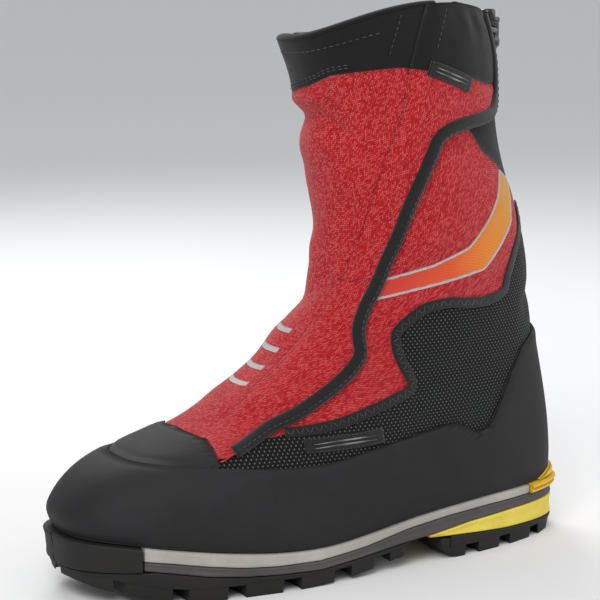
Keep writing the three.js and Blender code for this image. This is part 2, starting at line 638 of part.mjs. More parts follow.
// ---------- rubber ----------
const RUBBER = { inner: GAP, outer: GAP + RAND };
add('toe_rand', patch({ ...RUBBER, t: [BASE, 2.3], deg: [-44, 44], keep: [] }), 'rand_rubber');
add('toe_cap', patch({
  inner: GAP, outer: GAP + RAND - 0.4, t: [2.33, 4], deg: [-43.6, 43.6], keep: [below(CAP_TOP)],
}), 'rand_rubber');
add('rand_lateral', patch({
  ...RUBBER, t: [BASE, 4], deg: [44.5, 107], keep: [below(RAND_TOP)],
}), 'rand_rubber');
const medialRand = (v) => below(RAND_TOP)({ t: v.t, deg: -v.deg });
add('rand_medial', patch({ ...RUBBER, t: [BASE, 4], deg: [-107, -44.5], keep: [medialRand] }), 'rand_rubber');
const heelRand = (v) => below(RAND_TOP)({ t: v.t, deg: v.deg > 180 ? 360 - v.deg : v.deg });
add('heel_rand', patch({ ...RUBBER, t: [BASE, 6], deg: [107.5, 252.5], keep: [heelRand] }), 'rand_rubber');

// ---------- stiffeners and inner boot ----------
const deep = (v) => LINER_FOOT + (LINER_SHAFT - LINER_FOOT) * clamp((v.t - 3.5) / 2, 0, 1);
const linerOut = (v) => -deep(v);
const linerIn = (v) => -deep(v) - LINER;
const INNER = { inner: linerIn, outer: linerOut };
add('toe_puff', patch({ inner: -4.4, outer: -2.4, t: [0.1, 2.5], deg: [-60, 60] }), 'shank_plastic');
add('heel_counter', patch({ inner: -4.4, outer: -2.4, t: [0.1, 3], deg: [120, 240] }), 'shank_plastic');
add('liner_foot_lateral', patch({ ...INNER, t: [BASE, 3.1], deg: [H, 180 - H] }), 'liner_fabric');
add('liner_foot_medial', patch({ ...INNER, t: [BASE, 3.1], deg: [-180 + H, -H] }), 'liner_fabric');
add('liner_cuff_lateral', patch({ ...INNER, t: [3.12, 10.85], deg: [30, 180 - H] }), 'liner_fabric');
add('liner_cuff_medial', patch({ ...INNER, t: [3.12, 10.85], deg: [-180 + H, -30] }), 'liner_fabric');
add('tongue', patch({ ...INNER, t: [3.12, 10.95], deg: [-29.4, 29.4] }), 'liner_fabric');

// ---------- seam tapes ----------
const strip = (pts, steps, w, lo, hi) => sweep(along(pts, steps), rect(w, lo, hi));
add('seam_tape_lateral', strip(TAPE.slice(3, 23), 38, 6, 0.5, 1.1), 'binding_tape');
add('seam_tape_medial', strip(mirror(TAPE.slice(3, 23)), 38, 6, 0.5, 1.1), 'binding_tape');

// ---------- flaps over the zip ----------
const FOLD = 6.45;         // height where the flap stops being sewn down
const edgeRows = (pts) => pts.map(([t, d]) => [t, d]);
const insideFlap = [rightOf(edgeRows(SEAM)), leftOf(edgeRows(EDGE))];
add('front_seam_tape', patch({
  inner: GAP, outer: GAP + 0.4, t: [3.2, 9.5], deg: [0, 80],
  keep: [rightOf(SEAM, 0.5), leftOf(SEAM, -5.5)],
}), 'binding_tape');
add('lower_flap', patch({
  inner: FLAP_LIFT, outer: FLAP_LIFT + 1.2, t: [2.3, FOLD - 0.03], deg: [0, 75],
  keep: [...insideFlap, above(CAP_TOP, 0.6), (v) => (v.deg < 44 ? 9 : above(RAND_TOP, 0.6)(v))],
}), 'red_fabric');
const LOW_TOP = FLAP_LIFT + 1.2 + 0.4;
add('lower_binding', sweep(along(EDGE.filter(([t]) => t > 2.6 && t < FOLD - 0.1), 22),
  [[0, LOW_TOP], [6, LOW_TOP], [5.2, LOW_TOP + 1.5], [0.8, LOW_TOP + 1.5]]), 'binding_tape');
const FLAP_OUT = { inner: FLAP_LIFT, outer: FLAP_LIFT + FLAP };
add('storm_flap', patch({
  ...FLAP_OUT, t: [FOLD + 0.03, 10], deg: [15, 160], keep: [...insideFlap, below(COLLAR, H)],
}), 'red_fabric');
add('collar_flap', patch({
  ...FLAP_OUT, t: [9, HEM], deg: [60, 160], keep: [...insideFlap, above(COLLAR, H)],
}), 'black_fabric');
const TOP_OF_FLAP = FLAP_LIFT + FLAP + 0.7;
const FLAP_EDGE = [[FOLD + 0.1, 50.5], ...EDGE.filter(([t]) => t > 6.8 && t < 10), [10.9, 149.5]];
add('flap_binding', sweep(along(FLAP_EDGE, 40),
  [[0, TOP_OF_FLAP], [6, TOP_OF_FLAP], [5.2, TOP_OF_FLAP + 1.5], [0.8, TOP_OF_FLAP + 1.5]]), 'binding_tape');

// ---------- labels, left blank ----------
add('cuff_label', strip([[9.66, 83], [9.5, 96], [9.34, 109]], 6, 8.5, TOP_OF_FLAP, TOP_OF_FLAP + 0.7),
  'label_black');
add('side_label', strip([[2.8, 60], [2.86, 83]], 6, 8.5, 0.6, 1.3), 'label_black');

// ---------- zip ----------
const Z0 = -ZIP_HALF;
const Z1 = ZIP_HALF - 8;
add('zip_tape_front', zipBar(Z0, Z1, [-ZIP_TAPE, -2.9], [ZIP_H - 0.4, ZIP_H + 0.4], 10), 'zip_tape_fabric');
add('zip_tape_rear', zipBar(Z0, Z1, [2.9, ZIP_TAPE], [ZIP_H - 0.4, ZIP_H + 0.4], 10), 'zip_tape_fabric');
add('zip_teeth_front', zipBar(Z0 + 4, Z1, [-2.6, -0.7], [ZIP_H - 0.9, ZIP_H + 0.9], 10), 'zip_metal');
add('zip_teeth_rear', zipBar(Z0 + 4, Z1, [0.7, 2.6], [ZIP_H - 0.9, ZIP_H + 0.9], 10), 'zip_metal');
add('zip_stop', zipBar(Z0 + 1, Z0 + 3.7, [-2.5, 2.5], [ZIP_H - 0.9, ZIP_H + 0.9], 1), 'zip_metal');
const S = SLIDER_S;
const slider = [
  zipBar(S - 6, S + 6, [-4.2, 4.2], [ZIP_H - 1.9, ZIP_H - 1.2], 2),
  zipBar(S - 6, S + 6, [-4.2, 4.2], [ZIP_H + 1.2, ZIP_H + 2.0], 2),
  zipBar(S + 2, S + 5.5, [-0.4, 0.4], [ZIP_H - 1.6, ZIP_H + 1.6], 1),
  zipBar(S - 3.5, S - 2.3, [-0.8, 0.8], [ZIP_H + 1.6, ZIP_H + 3.9], 1),
  zipBar(S + 1.3, S + 2.5, [-0.8, 0.8], [ZIP_H + 1.6, ZIP_H + 3.9], 1),
  zipBar(S - 3.5, S + 2.5, [-0.8, 0.8], [ZIP_H + 3.5, ZIP_H + 4.3], 1),
];
add('zip_slider', fromManifold(slider.slice(1).reduce((m, g) => m.add(toManifold(g)), toManifold(slider[0]))),
  'zip_metal');
// pull: a tab hanging down the zip, its end bar caught under the slider's bridge
const PULL_H = ZIP_H + 2.75;
const pull = toManifold(zipBar(S - 24, S + 0.45, [-3, 3], [PULL_H - 0.45, PULL_H + 0.45], 4))
  .subtract(toManifold(zipBar(S - 6, S - 0.45, [-1.3, 1.3], [PULL_H - 1, PULL_H + 1], 1)));
add('zip_pull', fromManifold(pull), 'zip_metal');

// ---------- drawcord and cord lock at the back of the collar ----------
const LOCK_T = 10.55;
const LOCK_DEG = 174;
const lockN = normal(LOCK_T, LOCK_DEG).setZ(0).normalize();
const lockU = new THREE.Vector3(-lockN.y, lockN.x, 0);
const lockC = surf(LOCK_T, LOCK_DEG).addScaledVector(lockN, LOCK_R + 2);
const LOCK_Z = lockC.z;
function turned(points, x, y) {
  const g = new THREE.LatheGeometry(points.map(([r, z]) => new THREE.Vector2(r, z)), 20);
  g.rotateX(Math.PI / 2);
  g.translate(x, y, 0);
  const s = soup();
  const pos = g.attributes.position;
  const v = (i) => new THREE.Vector3(pos.getX(i), pos.getY(i), pos.getZ(i));
  for (let i = 0; i < g.index.count; i += 3) {
    s.tri(v(g.index.getX(i)), v(g.index.getX(i + 1)), v(g.index.getX(i + 2)));
  }
  return geometry(s);
}
function rod(a, b, r, n = 12) {
  const dir = b.clone().sub(a).normalize();
  const up = Math.abs(dir.z) < 0.9 ? new THREE.Vector3(0, 0, 1) : new THREE.Vector3(1, 0, 0);
  const u = new THREE.Vector3().crossVectors(dir, up).normalize();
  const v = new THREE.Vector3().crossVectors(dir, u);
  return sweep([{ p: a, u, v }, { p: b, u, v }], circle(r, n));
}
const far = (k) => lockC.clone().addScaledVector(lockU, k);
const base = LOCK_Z - 11;
const topZ = base + LOCK_H;
const HOLE_R = CORD_D / 2 + 0.6;
const barrel = toManifold(turned([
  [0, base], [LOCK_R - 1.5, base], [LOCK_R, base + 2], [LOCK_R, topZ - 2], [LOCK_R - 1, topZ],
  [4.7, topZ], [4.7, base + 2], [0, base + 2],
], lockC.x, lockC.y)).subtract(toManifold(rod(far(-12), far(12), HOLE_R)));
add('lock_barrel', fromManifold(barrel), 'lock_plastic');
const PRESS = 3.5;
const plungerTop = topZ + 4.5;
const cavity = rod(far(-12), far(12), HOLE_R);
const cavityUp = cavity.clone().translate(0, 0, PRESS);
const slotBox = new THREE.BoxGeometry(24, 2 * HOLE_R, PRESS).toNonIndexed();
slotBox.rotateZ(Math.atan2(lockU.y, lockU.x));
slotBox.translate(lockC.x, lockC.y, LOCK_Z + PRESS / 2);
function welded(g) {
  const s = soup();
  const pos = g.attributes.position;
  const v = (i) => new THREE.Vector3(pos.getX(i), pos.getY(i), pos.getZ(i));
  for (let i = 0; i < pos.count; i += 3) s.tri(v(i), v(i + 1), v(i + 2));
  return geometry(s);
}
const plunger = toManifold(turned([
  [0, base + 8.6], [4.4, base + 8.6], [4.4, topZ + 0.5], [4.4, plungerTop - 1.2], [3.4, plungerTop],
  [0, plungerTop],
], lockC.x, lockC.y)).subtract(toManifold(cavity)).subtract(toManifold(cavityUp))
  .subtract(toManifold(welded(slotBox)));
add('lock_plunger', fromManifold(plunger), 'lock_plastic');
// spring under the plunger
const SPRING_R = 3.2;
const WIRE = 0.45;
const springLow = base + 2 + GAP + WIRE;
const springHigh = base + 8.6 - GAP - WIRE;
const springFrames = Array.from({ length: 31 }, (_, i) => {
  const a = i / 30 * Math.PI * 5;
  const rise = (springHigh - springLow) / (Math.PI * 5);
  const radial = new THREE.Vector3(Math.cos(a), Math.sin(a), 0);
  const tan = new THREE.Vector3(-Math.sin(a) * SPRING_R, Math.cos(a) * SPRING_R, rise).normalize();
  return {
    p: new THREE.Vector3(lockC.x, lockC.y, springLow + rise * a).addScaledVector(radial, SPRING_R),
    u: radial, v: new THREE.Vector3().crossVectors(tan, radial),
  };
});
add('lock_spring', sweep(springFrames, circle(WIRE, 5)), 'spring_steel');

// cord: in the hem from the front of the slot round the inner side to the lock and on to the slot
const CORD_T = LOCK_T;
const CORD_IN = -(FABRIC + CORD_D / 2 + 0.6);
const inHem = (deg) => {
  const step = 360 / COLS;
  const k = Math.floor(deg / step);
  const f = deg / step - k;
  return at(CORD_T, k * step, CORD_IN).lerp(at(CORD_T, (k + 1) * step, CORD_IN), f);
};
const cordStart = zipAngle(CORD_T) - 15;
const cordEnd = zipAngle(CORD_T) + 15;
const cordPath = [];
for (let d = cordStart; d > LOCK_DEG + 28 - 360; d -= 18) cordPath.push(inHem(d));
const exits = [LOCK_DEG + 18, LOCK_DEG - 18];
cordPath.push(inHem(exits[0] + 4));
const exitPoint = (deg, off) => surf(CORD_T, deg).addScaledVector(normal(CORD_T, deg).setZ(0).normalize(), off);
cordPath.push(exitPoint(exits[0], 0.5));
cordPath.push(far(9));
cordPath.push(far(0));
cordPath.push(far(-9));
cordPath.push(exitPoint(exits[1], 0.5));
cordPath.push(inHem(exits[1] - 4));
for (let d = exits[1] - 12; d > cordEnd; d -= 12) cordPath.push(inHem(d));
cordPath.push(inHem(cordEnd));
const curve = new THREE.CatmullRomCurve3(cordPath, false, 'centripetal');
const cordFrames = Array.from({ length: 61 }, (_, i) => {
  const p = curve.getPoint(i / 60);
  const tan = curve.getTangent(i / 60);
  const v = new THREE.Vector3(0, 0, 1);
  v.addScaledVector(tan, -v.dot(tan)).normalize();
  return { p, u: new THREE.Vector3().crossVectors(tan, v), v };
});
add('drawcord', sweep(cordFrames, circle(CORD_D / 2, 6)), 'cord_grey');
for (const d of exits) {
  collarRear = collarRear.subtract(toManifold(rod(exitPoint(d, -8), exitPoint(d, 8), HOLE_R + 2.4)));
}
add('collar_rear', fromManifold(collarRear), 'black_fabric');
const TAPE_ROOM = 0.05;      // relief in the facing round the zip tapes
const facing = toManifold(patch({
  inner: CORD_IN - CORD_D / 2 - 1.8, outer: CORD_IN - CORD_D / 2 - 0.9, t: [10.1, HEM], deg: [60, 460],
  keep: [(v) => (v.deg < 270 ? rearOfSlot(v) : frontOfSlot({ ...v, deg: v.deg - 360 }))],
}));
add('collar_facing', fromManifold(facing.subtract(toManifold(zipBar(Z0, Z1,
  [-ZIP_TAPE - TAPE_ROOM, ZIP_TAPE + TAPE_ROOM], [ZIP_H - 0.4 - TAPE_ROOM, ZIP_H + 0.4 + TAPE_ROOM], 10)))),
'black_fabric');

export default group;
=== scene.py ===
import math

import bmesh
import bpy
import numpy as np
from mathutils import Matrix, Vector


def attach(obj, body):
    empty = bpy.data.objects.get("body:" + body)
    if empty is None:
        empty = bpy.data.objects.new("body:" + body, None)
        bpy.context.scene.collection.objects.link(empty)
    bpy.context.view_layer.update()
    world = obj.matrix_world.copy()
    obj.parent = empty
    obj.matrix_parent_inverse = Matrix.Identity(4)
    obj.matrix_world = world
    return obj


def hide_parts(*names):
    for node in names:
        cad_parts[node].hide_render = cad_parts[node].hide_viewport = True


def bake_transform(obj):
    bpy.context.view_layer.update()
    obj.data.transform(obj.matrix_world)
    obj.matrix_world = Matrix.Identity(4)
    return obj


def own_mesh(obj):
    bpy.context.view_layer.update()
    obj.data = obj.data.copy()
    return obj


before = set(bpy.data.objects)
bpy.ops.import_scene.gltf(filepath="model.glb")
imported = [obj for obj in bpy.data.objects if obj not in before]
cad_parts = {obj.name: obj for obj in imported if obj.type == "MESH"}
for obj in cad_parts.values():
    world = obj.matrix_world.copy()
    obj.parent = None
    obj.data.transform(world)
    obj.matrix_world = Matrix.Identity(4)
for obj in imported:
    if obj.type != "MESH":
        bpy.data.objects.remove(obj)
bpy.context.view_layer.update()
MM = 0.001
FINE = 1.0                                  # grid density of the soft pieces
sc = bpy.context.scene
sc.view_settings.view_transform = "Standard"

# ---------------------------------------------------------------- camera
az, el = math.radians(60), math.radians(10)
back = Vector((math.sin(az) * math.cos(el), -math.cos(az) * math.cos(el), math.sin(el)))
target = Vector((-0.0006, -0.0115, 0.1505))
cam_data = bpy.data.cameras.new("camera")
cam_data.lens = 123.0
cam_data.sensor_width = 36.0
cam = bpy.data.objects.new("camera", cam_data)
sc.collection.objects.link(cam)
cam.location = target + back * 1.150
cam.rotation_euler = back.to_track_quat("Z", "Y").to_euler()
sc.camera = cam

# ---------------------------------------------------------------- shape of the upper, in millimetres
STATIONS = np.array([
    [-151, 37, 155, 33, 47, 44, 0.70, 0.14, 10, 1.0, 0],
    [-153, 50, 155, 48, 52, 49, 0.72, 0.14, 10, 1.0, 0],
    [-133, 68, 153, 72, 51, 48, 0.74, 0.14, 10, 0.7, 0],
    [-84, 84, 149, 94, 48, 45, 0.78, 0.12, 9, 0.4, 0],
    [-60, 99, 145, 114, 44, 41, 0.82, 0.06, 6, 0.15, 0],
    [-31, 120, 142, 136, 43, 40, 0.86, 0.00, 3, 0.0, 0],
    [-7, 148, 138, 162, 44, 41, 0.90, -0.03, 0, 0.0, 0],
    [4, 184, 130, 192, 46, 43, 0.93, -0.05, 0, 0.0, 0],
    [-1, 220, 118, 224, 47, 45, 0.95, -0.05, 0, 0.0, 0],
    [-4, 254, 109, 258, 49, 47, 0.95, -0.04, 0, 0.0, 2],
    [-12, 280, 105, 288, 50, 48, 0.95, -0.03, 0, 0.0, 9],
    [-19, 296, 100, 306, 48, 46, 0.95, -0.02, 0, 0.0, 15]], float)
TOP = 11
SOLE_TOP = np.array([[-162, 36], [-133, 33.5], [-105, 29.5], [-77, 25.5], [-49, 22.5], [-21, 21.8],
                     [8, 24.6], [38, 28.4], [68, 31.2], [98, 32.8], [130, 33], [162, 33]], float)
CENTRE = np.array([0.6, 2.0, 0.0])
STATION_MM, DEGREE_MM = 25, 0.85            # about how far one station and one degree run over the upper


def spline(values, t):
    v = np.asarray(values, float)
    t = np.asarray(t, float)
    n = len(v)
    i = np.clip(np.floor(t).astype(int), 0, n - 2)
    f = t - i
    ext = np.concatenate([[2 * v[0] - v[1]], v, [2 * v[-1] - v[-2]]])
    a, b, c, d = (ext[i + k] for k in range(4))
    return b + 0.5 * f * (c - a + f * (2 * a - 5 * b + 4 * c - d + f * (3 * (b - c) + d - a)))


def line(pts, x):
    pts = np.asarray(pts, float)
    return np.interp(x, pts[:, 0], pts[:, 1])


def smooth_line(pts, x):
    pts = np.asarray(pts, float)
    return spline(pts[:, 1], np.interp(x, pts[:, 0], np.arange(len(pts))))


INNER_CROWN = -0.35


def surf(t, deg):
    t, deg = np.broadcast_arrays(np.asarray(t, float), np.asarray(deg, float))
    a = np.radians(deg)
    c, s = np.cos(a), np.sin(a)
    q = (1 - c) / 2
    fy, fz, by, bz, wl, wm, p, taper, shift, fade, crown = (spline(STATIONS[:, k], t) for k in range(11))
    y = fy * (1 - q) + by * q
    z = fz * (1 - q) + bz * q + crown * s * s * np.where(s > 0, 1.0, INNER_CROWN)
    y0 = STATIONS[0, 0] * (1 - q) + STATIONS[0, 2] * q
    z0 = STATIONS[0, 1] * (1 - q) + STATIONS[0, 3] * q
    z = z + fade * (smooth_line(SOLE_TOP, y0) - z0)
    waist = np.where(s >= 0, 0.06, 0.12) * np.exp(-(((q - 0.62) / 0.16) ** 2)) * fade
    w = np.where(s >= 0, wl, wm)
    x = np.sign(s) * w * np.maximum(np.abs(s), 1e-9) ** p * (1 + taper * c) * (1 - waist)
    x = x - shift * np.maximum(c, 0) ** 2
    return np.stack([x, y, z], -1) - CENTRE


def unit(v):
    return v / np.maximum(np.linalg.norm(v, axis=-1, keepdims=True), 1e-12)


def normal(t, deg):
    t, deg = np.broadcast_arrays(np.asarray(t, float), np.asarray(deg, float))
    du = surf(t + 0.05, deg) - surf(t - 0.05, deg)
    dv = surf(t, deg + 2) - surf(t, deg - 2)
    n = np.cross(dv, du)
    flat = np.clip(t / 0.35, 0, 1)
    n[..., 2] *= flat
    return unit(n)


# arc lengths, for texture coordinates in millimetres
GT = np.linspace(0, TOP, 111)
GD = np.linspace(-200, 480, 341)
_g = surf(GT[:, None], GD[None, :])
_du, _dt = (np.linalg.norm(np.diff(_g, axis=k), axis=-1) for k in (1, 0))
ARC_U = np.concatenate([np.zeros((len(GT), 1)), np.cumsum(_du, 1)], 1)
ARC_U -= ARC_U[:, [int(np.argmin(abs(GD - 90)))]]
ARC_V = np.concatenate([np.zeros((1, len(GD))), np.cumsum(_dt, 0)], 0)


def lookup(table, t, deg):
    a = np.clip((t - GT[0]) / (GT[1] - GT[0]), 0, len(GT) - 1.001)
    b = np.clip((deg - GD[0]) / (GD[1] - GD[0]), 0, len(GD) - 1.001)
    i, j = a.astype(int), b.astype(int)
    f, g = a - i, b - j
    return (table[i, j] * (1 - f) * (1 - g) + table[i + 1, j] * f * (1 - g)
            + table[i, j + 1] * (1 - f) * g + table[i + 1, j + 1] * f * g)


# ---------------------------------------------------------------- folds of the fabric
def smooth_noise(seed, t, deg, cell_t, cell_d):
    """Periodic smooth noise on the upper, about -1 to 1."""
    n = int(round(360 / cell_d))
    m = int(12 / cell_t) + 4
    table = np.random.default_rng(seed).uniform(-1, 1, (m, n))
    a = np.clip(np.asarray(t, float) / cell_t + 1, 0, m - 2.001)
    b = np.asarray(deg, float) % 360 / cell_d
    i, j = np.floor(a).astype(int), np.floor(b).astype(int)
    f, g = a - i, b - j
    f, g = f * f * (3 - 2 * f), g * g * (3 - 2 * g)
    j0, j1 = j % n, (j + 1) % n
    return (table[i, j0] * (1 - f) * (1 - g) + table[i + 1, j0] * f * (1 - g)
            + table[i, j1] * (1 - f) * g + table[i + 1, j1] * f * g)


def edge_distance(x, y, a, b):
    """Distance from the edge a to b, and a number that is negative to the right of it."""
    (ax, ay), (ex, ey) = a, b - a
    k = np.clip(((x - ax) * ex + (y - ay) * ey) / (ex * ex + ey * ey), 0, 1)
    return np.hypot(x - ax - k * ex, y - ay - k * ey), ex * (y - ay) - ey * (x - ax)


def segment_distance(pts, t, deg):
    """Distance in millimetres, roughly, from a line of [t, deg] points, and 1 or -1 for the side."""
    flat = np.array([[d * DEGREE_MM, s * STATION_MM] for s, d in pts])
    x, y = np.asarray(deg) * DEGREE_MM, np.asarray(t) * STATION_MM
    best = np.full(np.shape(x), 1e9)
    sign = np.ones(np.shape(x))
    for a, b in zip(flat[:-1], flat[1:]):
        d, side = edge_distance(x, y, a, b)
        better = d < best - 1e-9
        sign = np.where(better, np.where(side < 0, -1, 1), sign)
        best = np.where(better, d, best)
    return best, sign


# folds as [t, deg] lines with width and depth in millimetres
FOLDS = [([(8.75, -55), (8.95, -20), (9.0, 8), (8.8, 26)], 4.5, -2.2),
         ([(9.15, -60), (9.3, -22), (9.35, 12)], 5.0, 1.5),
         ([(8.35, -50), (8.45, -18), (8.5, 14)], 5.5, 1.3),
         ([(6.3, -75), (6.0, -40), (6.05, -12), (6.4, 10)], 6.0, -1.6),
         ([(6.9, -80), (6.7, -40), (6.9, -8)], 6.0, 1.0),
         ([(5.4, -60), (5.3, -30), (5.45, 0)], 6.0, 0.9),
         ([(7.2, 118), (6.75, 100), (6.45, 78), (6.35, 62)], 6.0, -1.1),
         ([(6.9, 128), (6.35, 104), (6.1, 82)], 6.0, 0.9),
         ([(7.9, 95), (7.4, 84), (7.0, 70)], 7.0, 0.7),
         ([(5.2, 150), (5.6, 165), (5.7, 185), (5.5, 205)], 7.0, -1.2)]


def sag(t, deg):
    t, deg = np.broadcast_arrays(np.asarray(t, float), np.asarray(deg, float))
    d = ((deg + 180) % 360) - 180
    w = np.clip((t - 2.7) / 1.5, 0, 1) * np.clip((11.3 - t) / 1.0, 0.2, 1)
    out = 0.55 * smooth_noise(3, t, deg, 0.9, 36) + 0.35 * smooth_noise(5, t, deg, 0.4, 15)
    for pts, width, depth in FOLDS:
        best, _ = segment_distance(pts, t, d)
        best2, _ = segment_distance(pts, t, d + 360)
        out = out + 1.5 * depth * np.exp(-((np.minimum(best, best2) / width) ** 2))
    pull = np.exp(-(((t - 10.55) / 0.35) ** 2)) * np.clip((np.abs(d) - 95) / 30, 0, 1)
    out = out + pull * (0.9 * np.sin(np.radians(d * 17)) + 0.5 * np.sin(np.radians(d * 29 + 40)))
    return out * w


# ---------------------------------------------------------------- lines drawn on the upper
SEAM = [[2.4, 17], [3.1, 16], [4.4, 15], [5.7, 16], [6.25, 17], [6.65, 25], [7.7, 44], [8.4, 56],
        [8.9, 64], [9.3, 69], [9.7, 73], [11.1, 92]]
EDGE = [[2.3, 42.5], [2.62, 42], [2.85, 41.5], [3.25, 42.5], [3.65, 49], [4.05, 54], [4.4, 57], [4.76, 58],
        [5.06, 56.5], [5.36, 51.5], [5.64, 47.5], [5.96, 46], [6.28, 47.8], [6.66, 50.5], [6.92, 53.8],
        [7.2, 58], [7.48, 63], [7.74, 68.5], [8.02, 74.5], [8.29, 79.8], [8.55, 85], [8.68, 92], [8.76, 105],
        [8.84, 127], [9.05, 139], [9.3, 144], [9.8, 146], [11.1, 150]]
TAPE = [[-0.5, 33], [2.2, 36], [3.0, 43], [3.14, 49], [3.28, 63], [3.52, 73], [3.75, 82], [3.87, 86],
        [4.02, 87], [4.28, 84], [4.88, 74], [5.23, 69], [5.42, 68], [5.62, 71], [5.8, 77], [5.82, 88],
        [5.72, 100], [5.68, 110], [5.78, 120], [6.1, 123], [6.6, 133], [6.9, 143], [7.28, 153], [7.8, 166],
        [8.2, 185]]
RAND_TOP = [[40, 2.3], [47, 2.31], [63, 2.33], [74, 2.38], [84, 2.54], [94, 2.58], [105, 2.6],
            [112, 2.5], [121, 2.1], [124, 1.95], [126, 2.5], [128, 3.05], [133, 3.63], [141, 4.2],
            [152, 4.42], [180, 4.55]]
CAP_TOP = [[-44, 2.33], [-36, 2.6], [-24, 2.9], [0, 3.04], [13, 2.99], [23, 2.9], [31, 2.72],
           [38, 2.54], [44, 2.33]]
QUARTER_TOP = [[80, 11], [90, 9.8], [99, 9.4], [108, 8.66], [117, 8.31], [139, 7.93], [160, 7.6], [180, 7.5]]
COLLAR = [[-180, 9.35], [-129, 9.33], [-90, 9.45], [-50, 9.45], [-20, 9.4], [10, 9.62], [27, 9.78],
          [40, 9.77], [68, 9.71], [90, 9.56], [129, 9.33], [180, 9.35], [231, 9.33], [270, 9.45], [310, 9.45]]


def mirror(pts):
    return [[t, -d] for t, d in pts]


def above(pts, gap=0.0):
    return lambda t, d: (t - line(pts, d)) * 20 - gap


def below(pts, gap=0.0):
    return lambda t, d: (line(pts, d) - t) * 20 - gap


def right_of(pts, gap=0.0):
    return side_of(pts, gap, -1)


def left_of(pts, gap=0.0):
    return side_of(pts, gap, 1)


def side_of(pts, gap=0.0, flip=1):
    def f(t, d):
        best, sign = segment_distance(pts, t, d)
        return flip * sign * best - gap
    return f


def both_sides(f):
    """The same field on both sides of the boot."""
    return lambda t, d: f(t, np.abs(((d + 180) % 360) - 180))


# ---------------------------------------------------------------- materials
class Mat:
    def __init__(self, name):
        self.m = bpy.data.materials.new(name)
        self.m.use_nodes = True
        self.nt = self.m.node_tree
        self.bsdf = next(n for n in self.nt.nodes if n.type == "BSDF_PRINCIPLED")
        self.uv = None

    def put(self, socket, value):
        if isinstance(value, bpy.types.NodeSocket):
            self.nt.links.new(value, socket)
        elif isinstance(value, (tuple, list)) and len(value) == 3 and socket.type == "RGBA":
            socket.default_value = (*value, 1)
        else:
            socket.default_value = value

    def math(self, op, a, b=0.0, c=0.0):
        n = self.nt.nodes.new("ShaderNodeMath")
        n.operation = op
        for s, v in zip(n.inputs, (a, b, c)):
            self.put(s, v)
        return n.outputs[0]

    def mul(self, a, b):
        return self.math("MULTIPLY", a, b)

    def add(self, a, b):
        return self.math("ADD", a, b)

    def sub(self, a, b):
        return self.math("SUBTRACT", a, b)

    def coords(self, kind="uv"):
        tc = self.nt.nodes.new("ShaderNodeTexCoord")
        if kind == "object":
            return tc.outputs["Object"]
        return tc.outputs["UV"]

    def split(self, vec):
        n = self.nt.nodes.new("ShaderNodeSeparateXYZ")
        self.put(n.inputs[0], vec)
        return n.outputs[0], n.outputs[1], n.outputs[2]

    def noise(self, vec, scale, detail=2.0, rough=0.5, out="Fac"):
        n = self.nt.nodes.new("ShaderNodeTexNoise")
        self.put(n.inputs["Vector"], vec)
        n.inputs["Scale"].default_value = scale
        n.inputs["Detail"].default_value = detail
        n.inputs["Roughness"].default_value = rough
        return n.outputs[out]

    def ramp(self, fac, stops):
        n = self.nt.nodes.new("ShaderNodeValToRGB")
        self.put(n.inputs[0], fac)
        e = n.color_ramp.elements
        while len(e) < len(stops):
            e.new(0.5)
        for k, (pos, col) in enumerate(stops):
            e[k].position = pos
            e[k].color = (*col, 1) if len(col) == 3 else col
        return n.outputs[0]

    def mix(self, fac, a, b):
        n = self.nt.nodes.new("ShaderNodeMix")
        n.data_type = "RGBA"
        self.put(n.inputs[0], fac)
        self.put(n.inputs[6], a)
        self.put(n.inputs[7], b)
        return n.outputs[2]

    def wave(self, coord, period):
        """0 to 1 sine along a coordinate in millimetres."""
        s = self.math("SINE", self.mul(coord, 2 * math.pi / period))
        return self.math("MULTIPLY_ADD", s, 0.5, 0.5)

    def bump(self, height, strength, distance=0.0005, chain=None):
        n = self.nt.nodes.new("ShaderNodeBump")
        self.put(n.inputs["Height"], height)
        n.inputs["Strength"].default_value = strength
        n.inputs["Distance"].default_value = distance
        if chain is not None:
            self.put(n.inputs["Normal"], chain)
        return n.outputs[0]

    def finish(self, color, rough, normal_out=None, metallic=0.0, sheen=0.0, coat=0.0, spec=0.5):
        b = self.bsdf.inputs
        self.put(b["Base Color"], color)
        self.put(b["Roughness"], rough)
        b["Metallic"].default_value = metallic
        b["Sheen Weight"].default_value = sheen
        b["Sheen Roughness"].default_value = 0.5
        b["Coat Weight"].default_value = coat
        b["Specular IOR Level"].default_value = spec
        if normal_out is not None:
            self.put(b["Normal"], normal_out)
        return self.m


def lin(r, g, b):
    f = lambda c: c / 12.92 if c <= 0.04045 else ((c + 0.055) / 1.055) ** 2.4
    return tuple(f(c / 255) for c in (r, g, b))


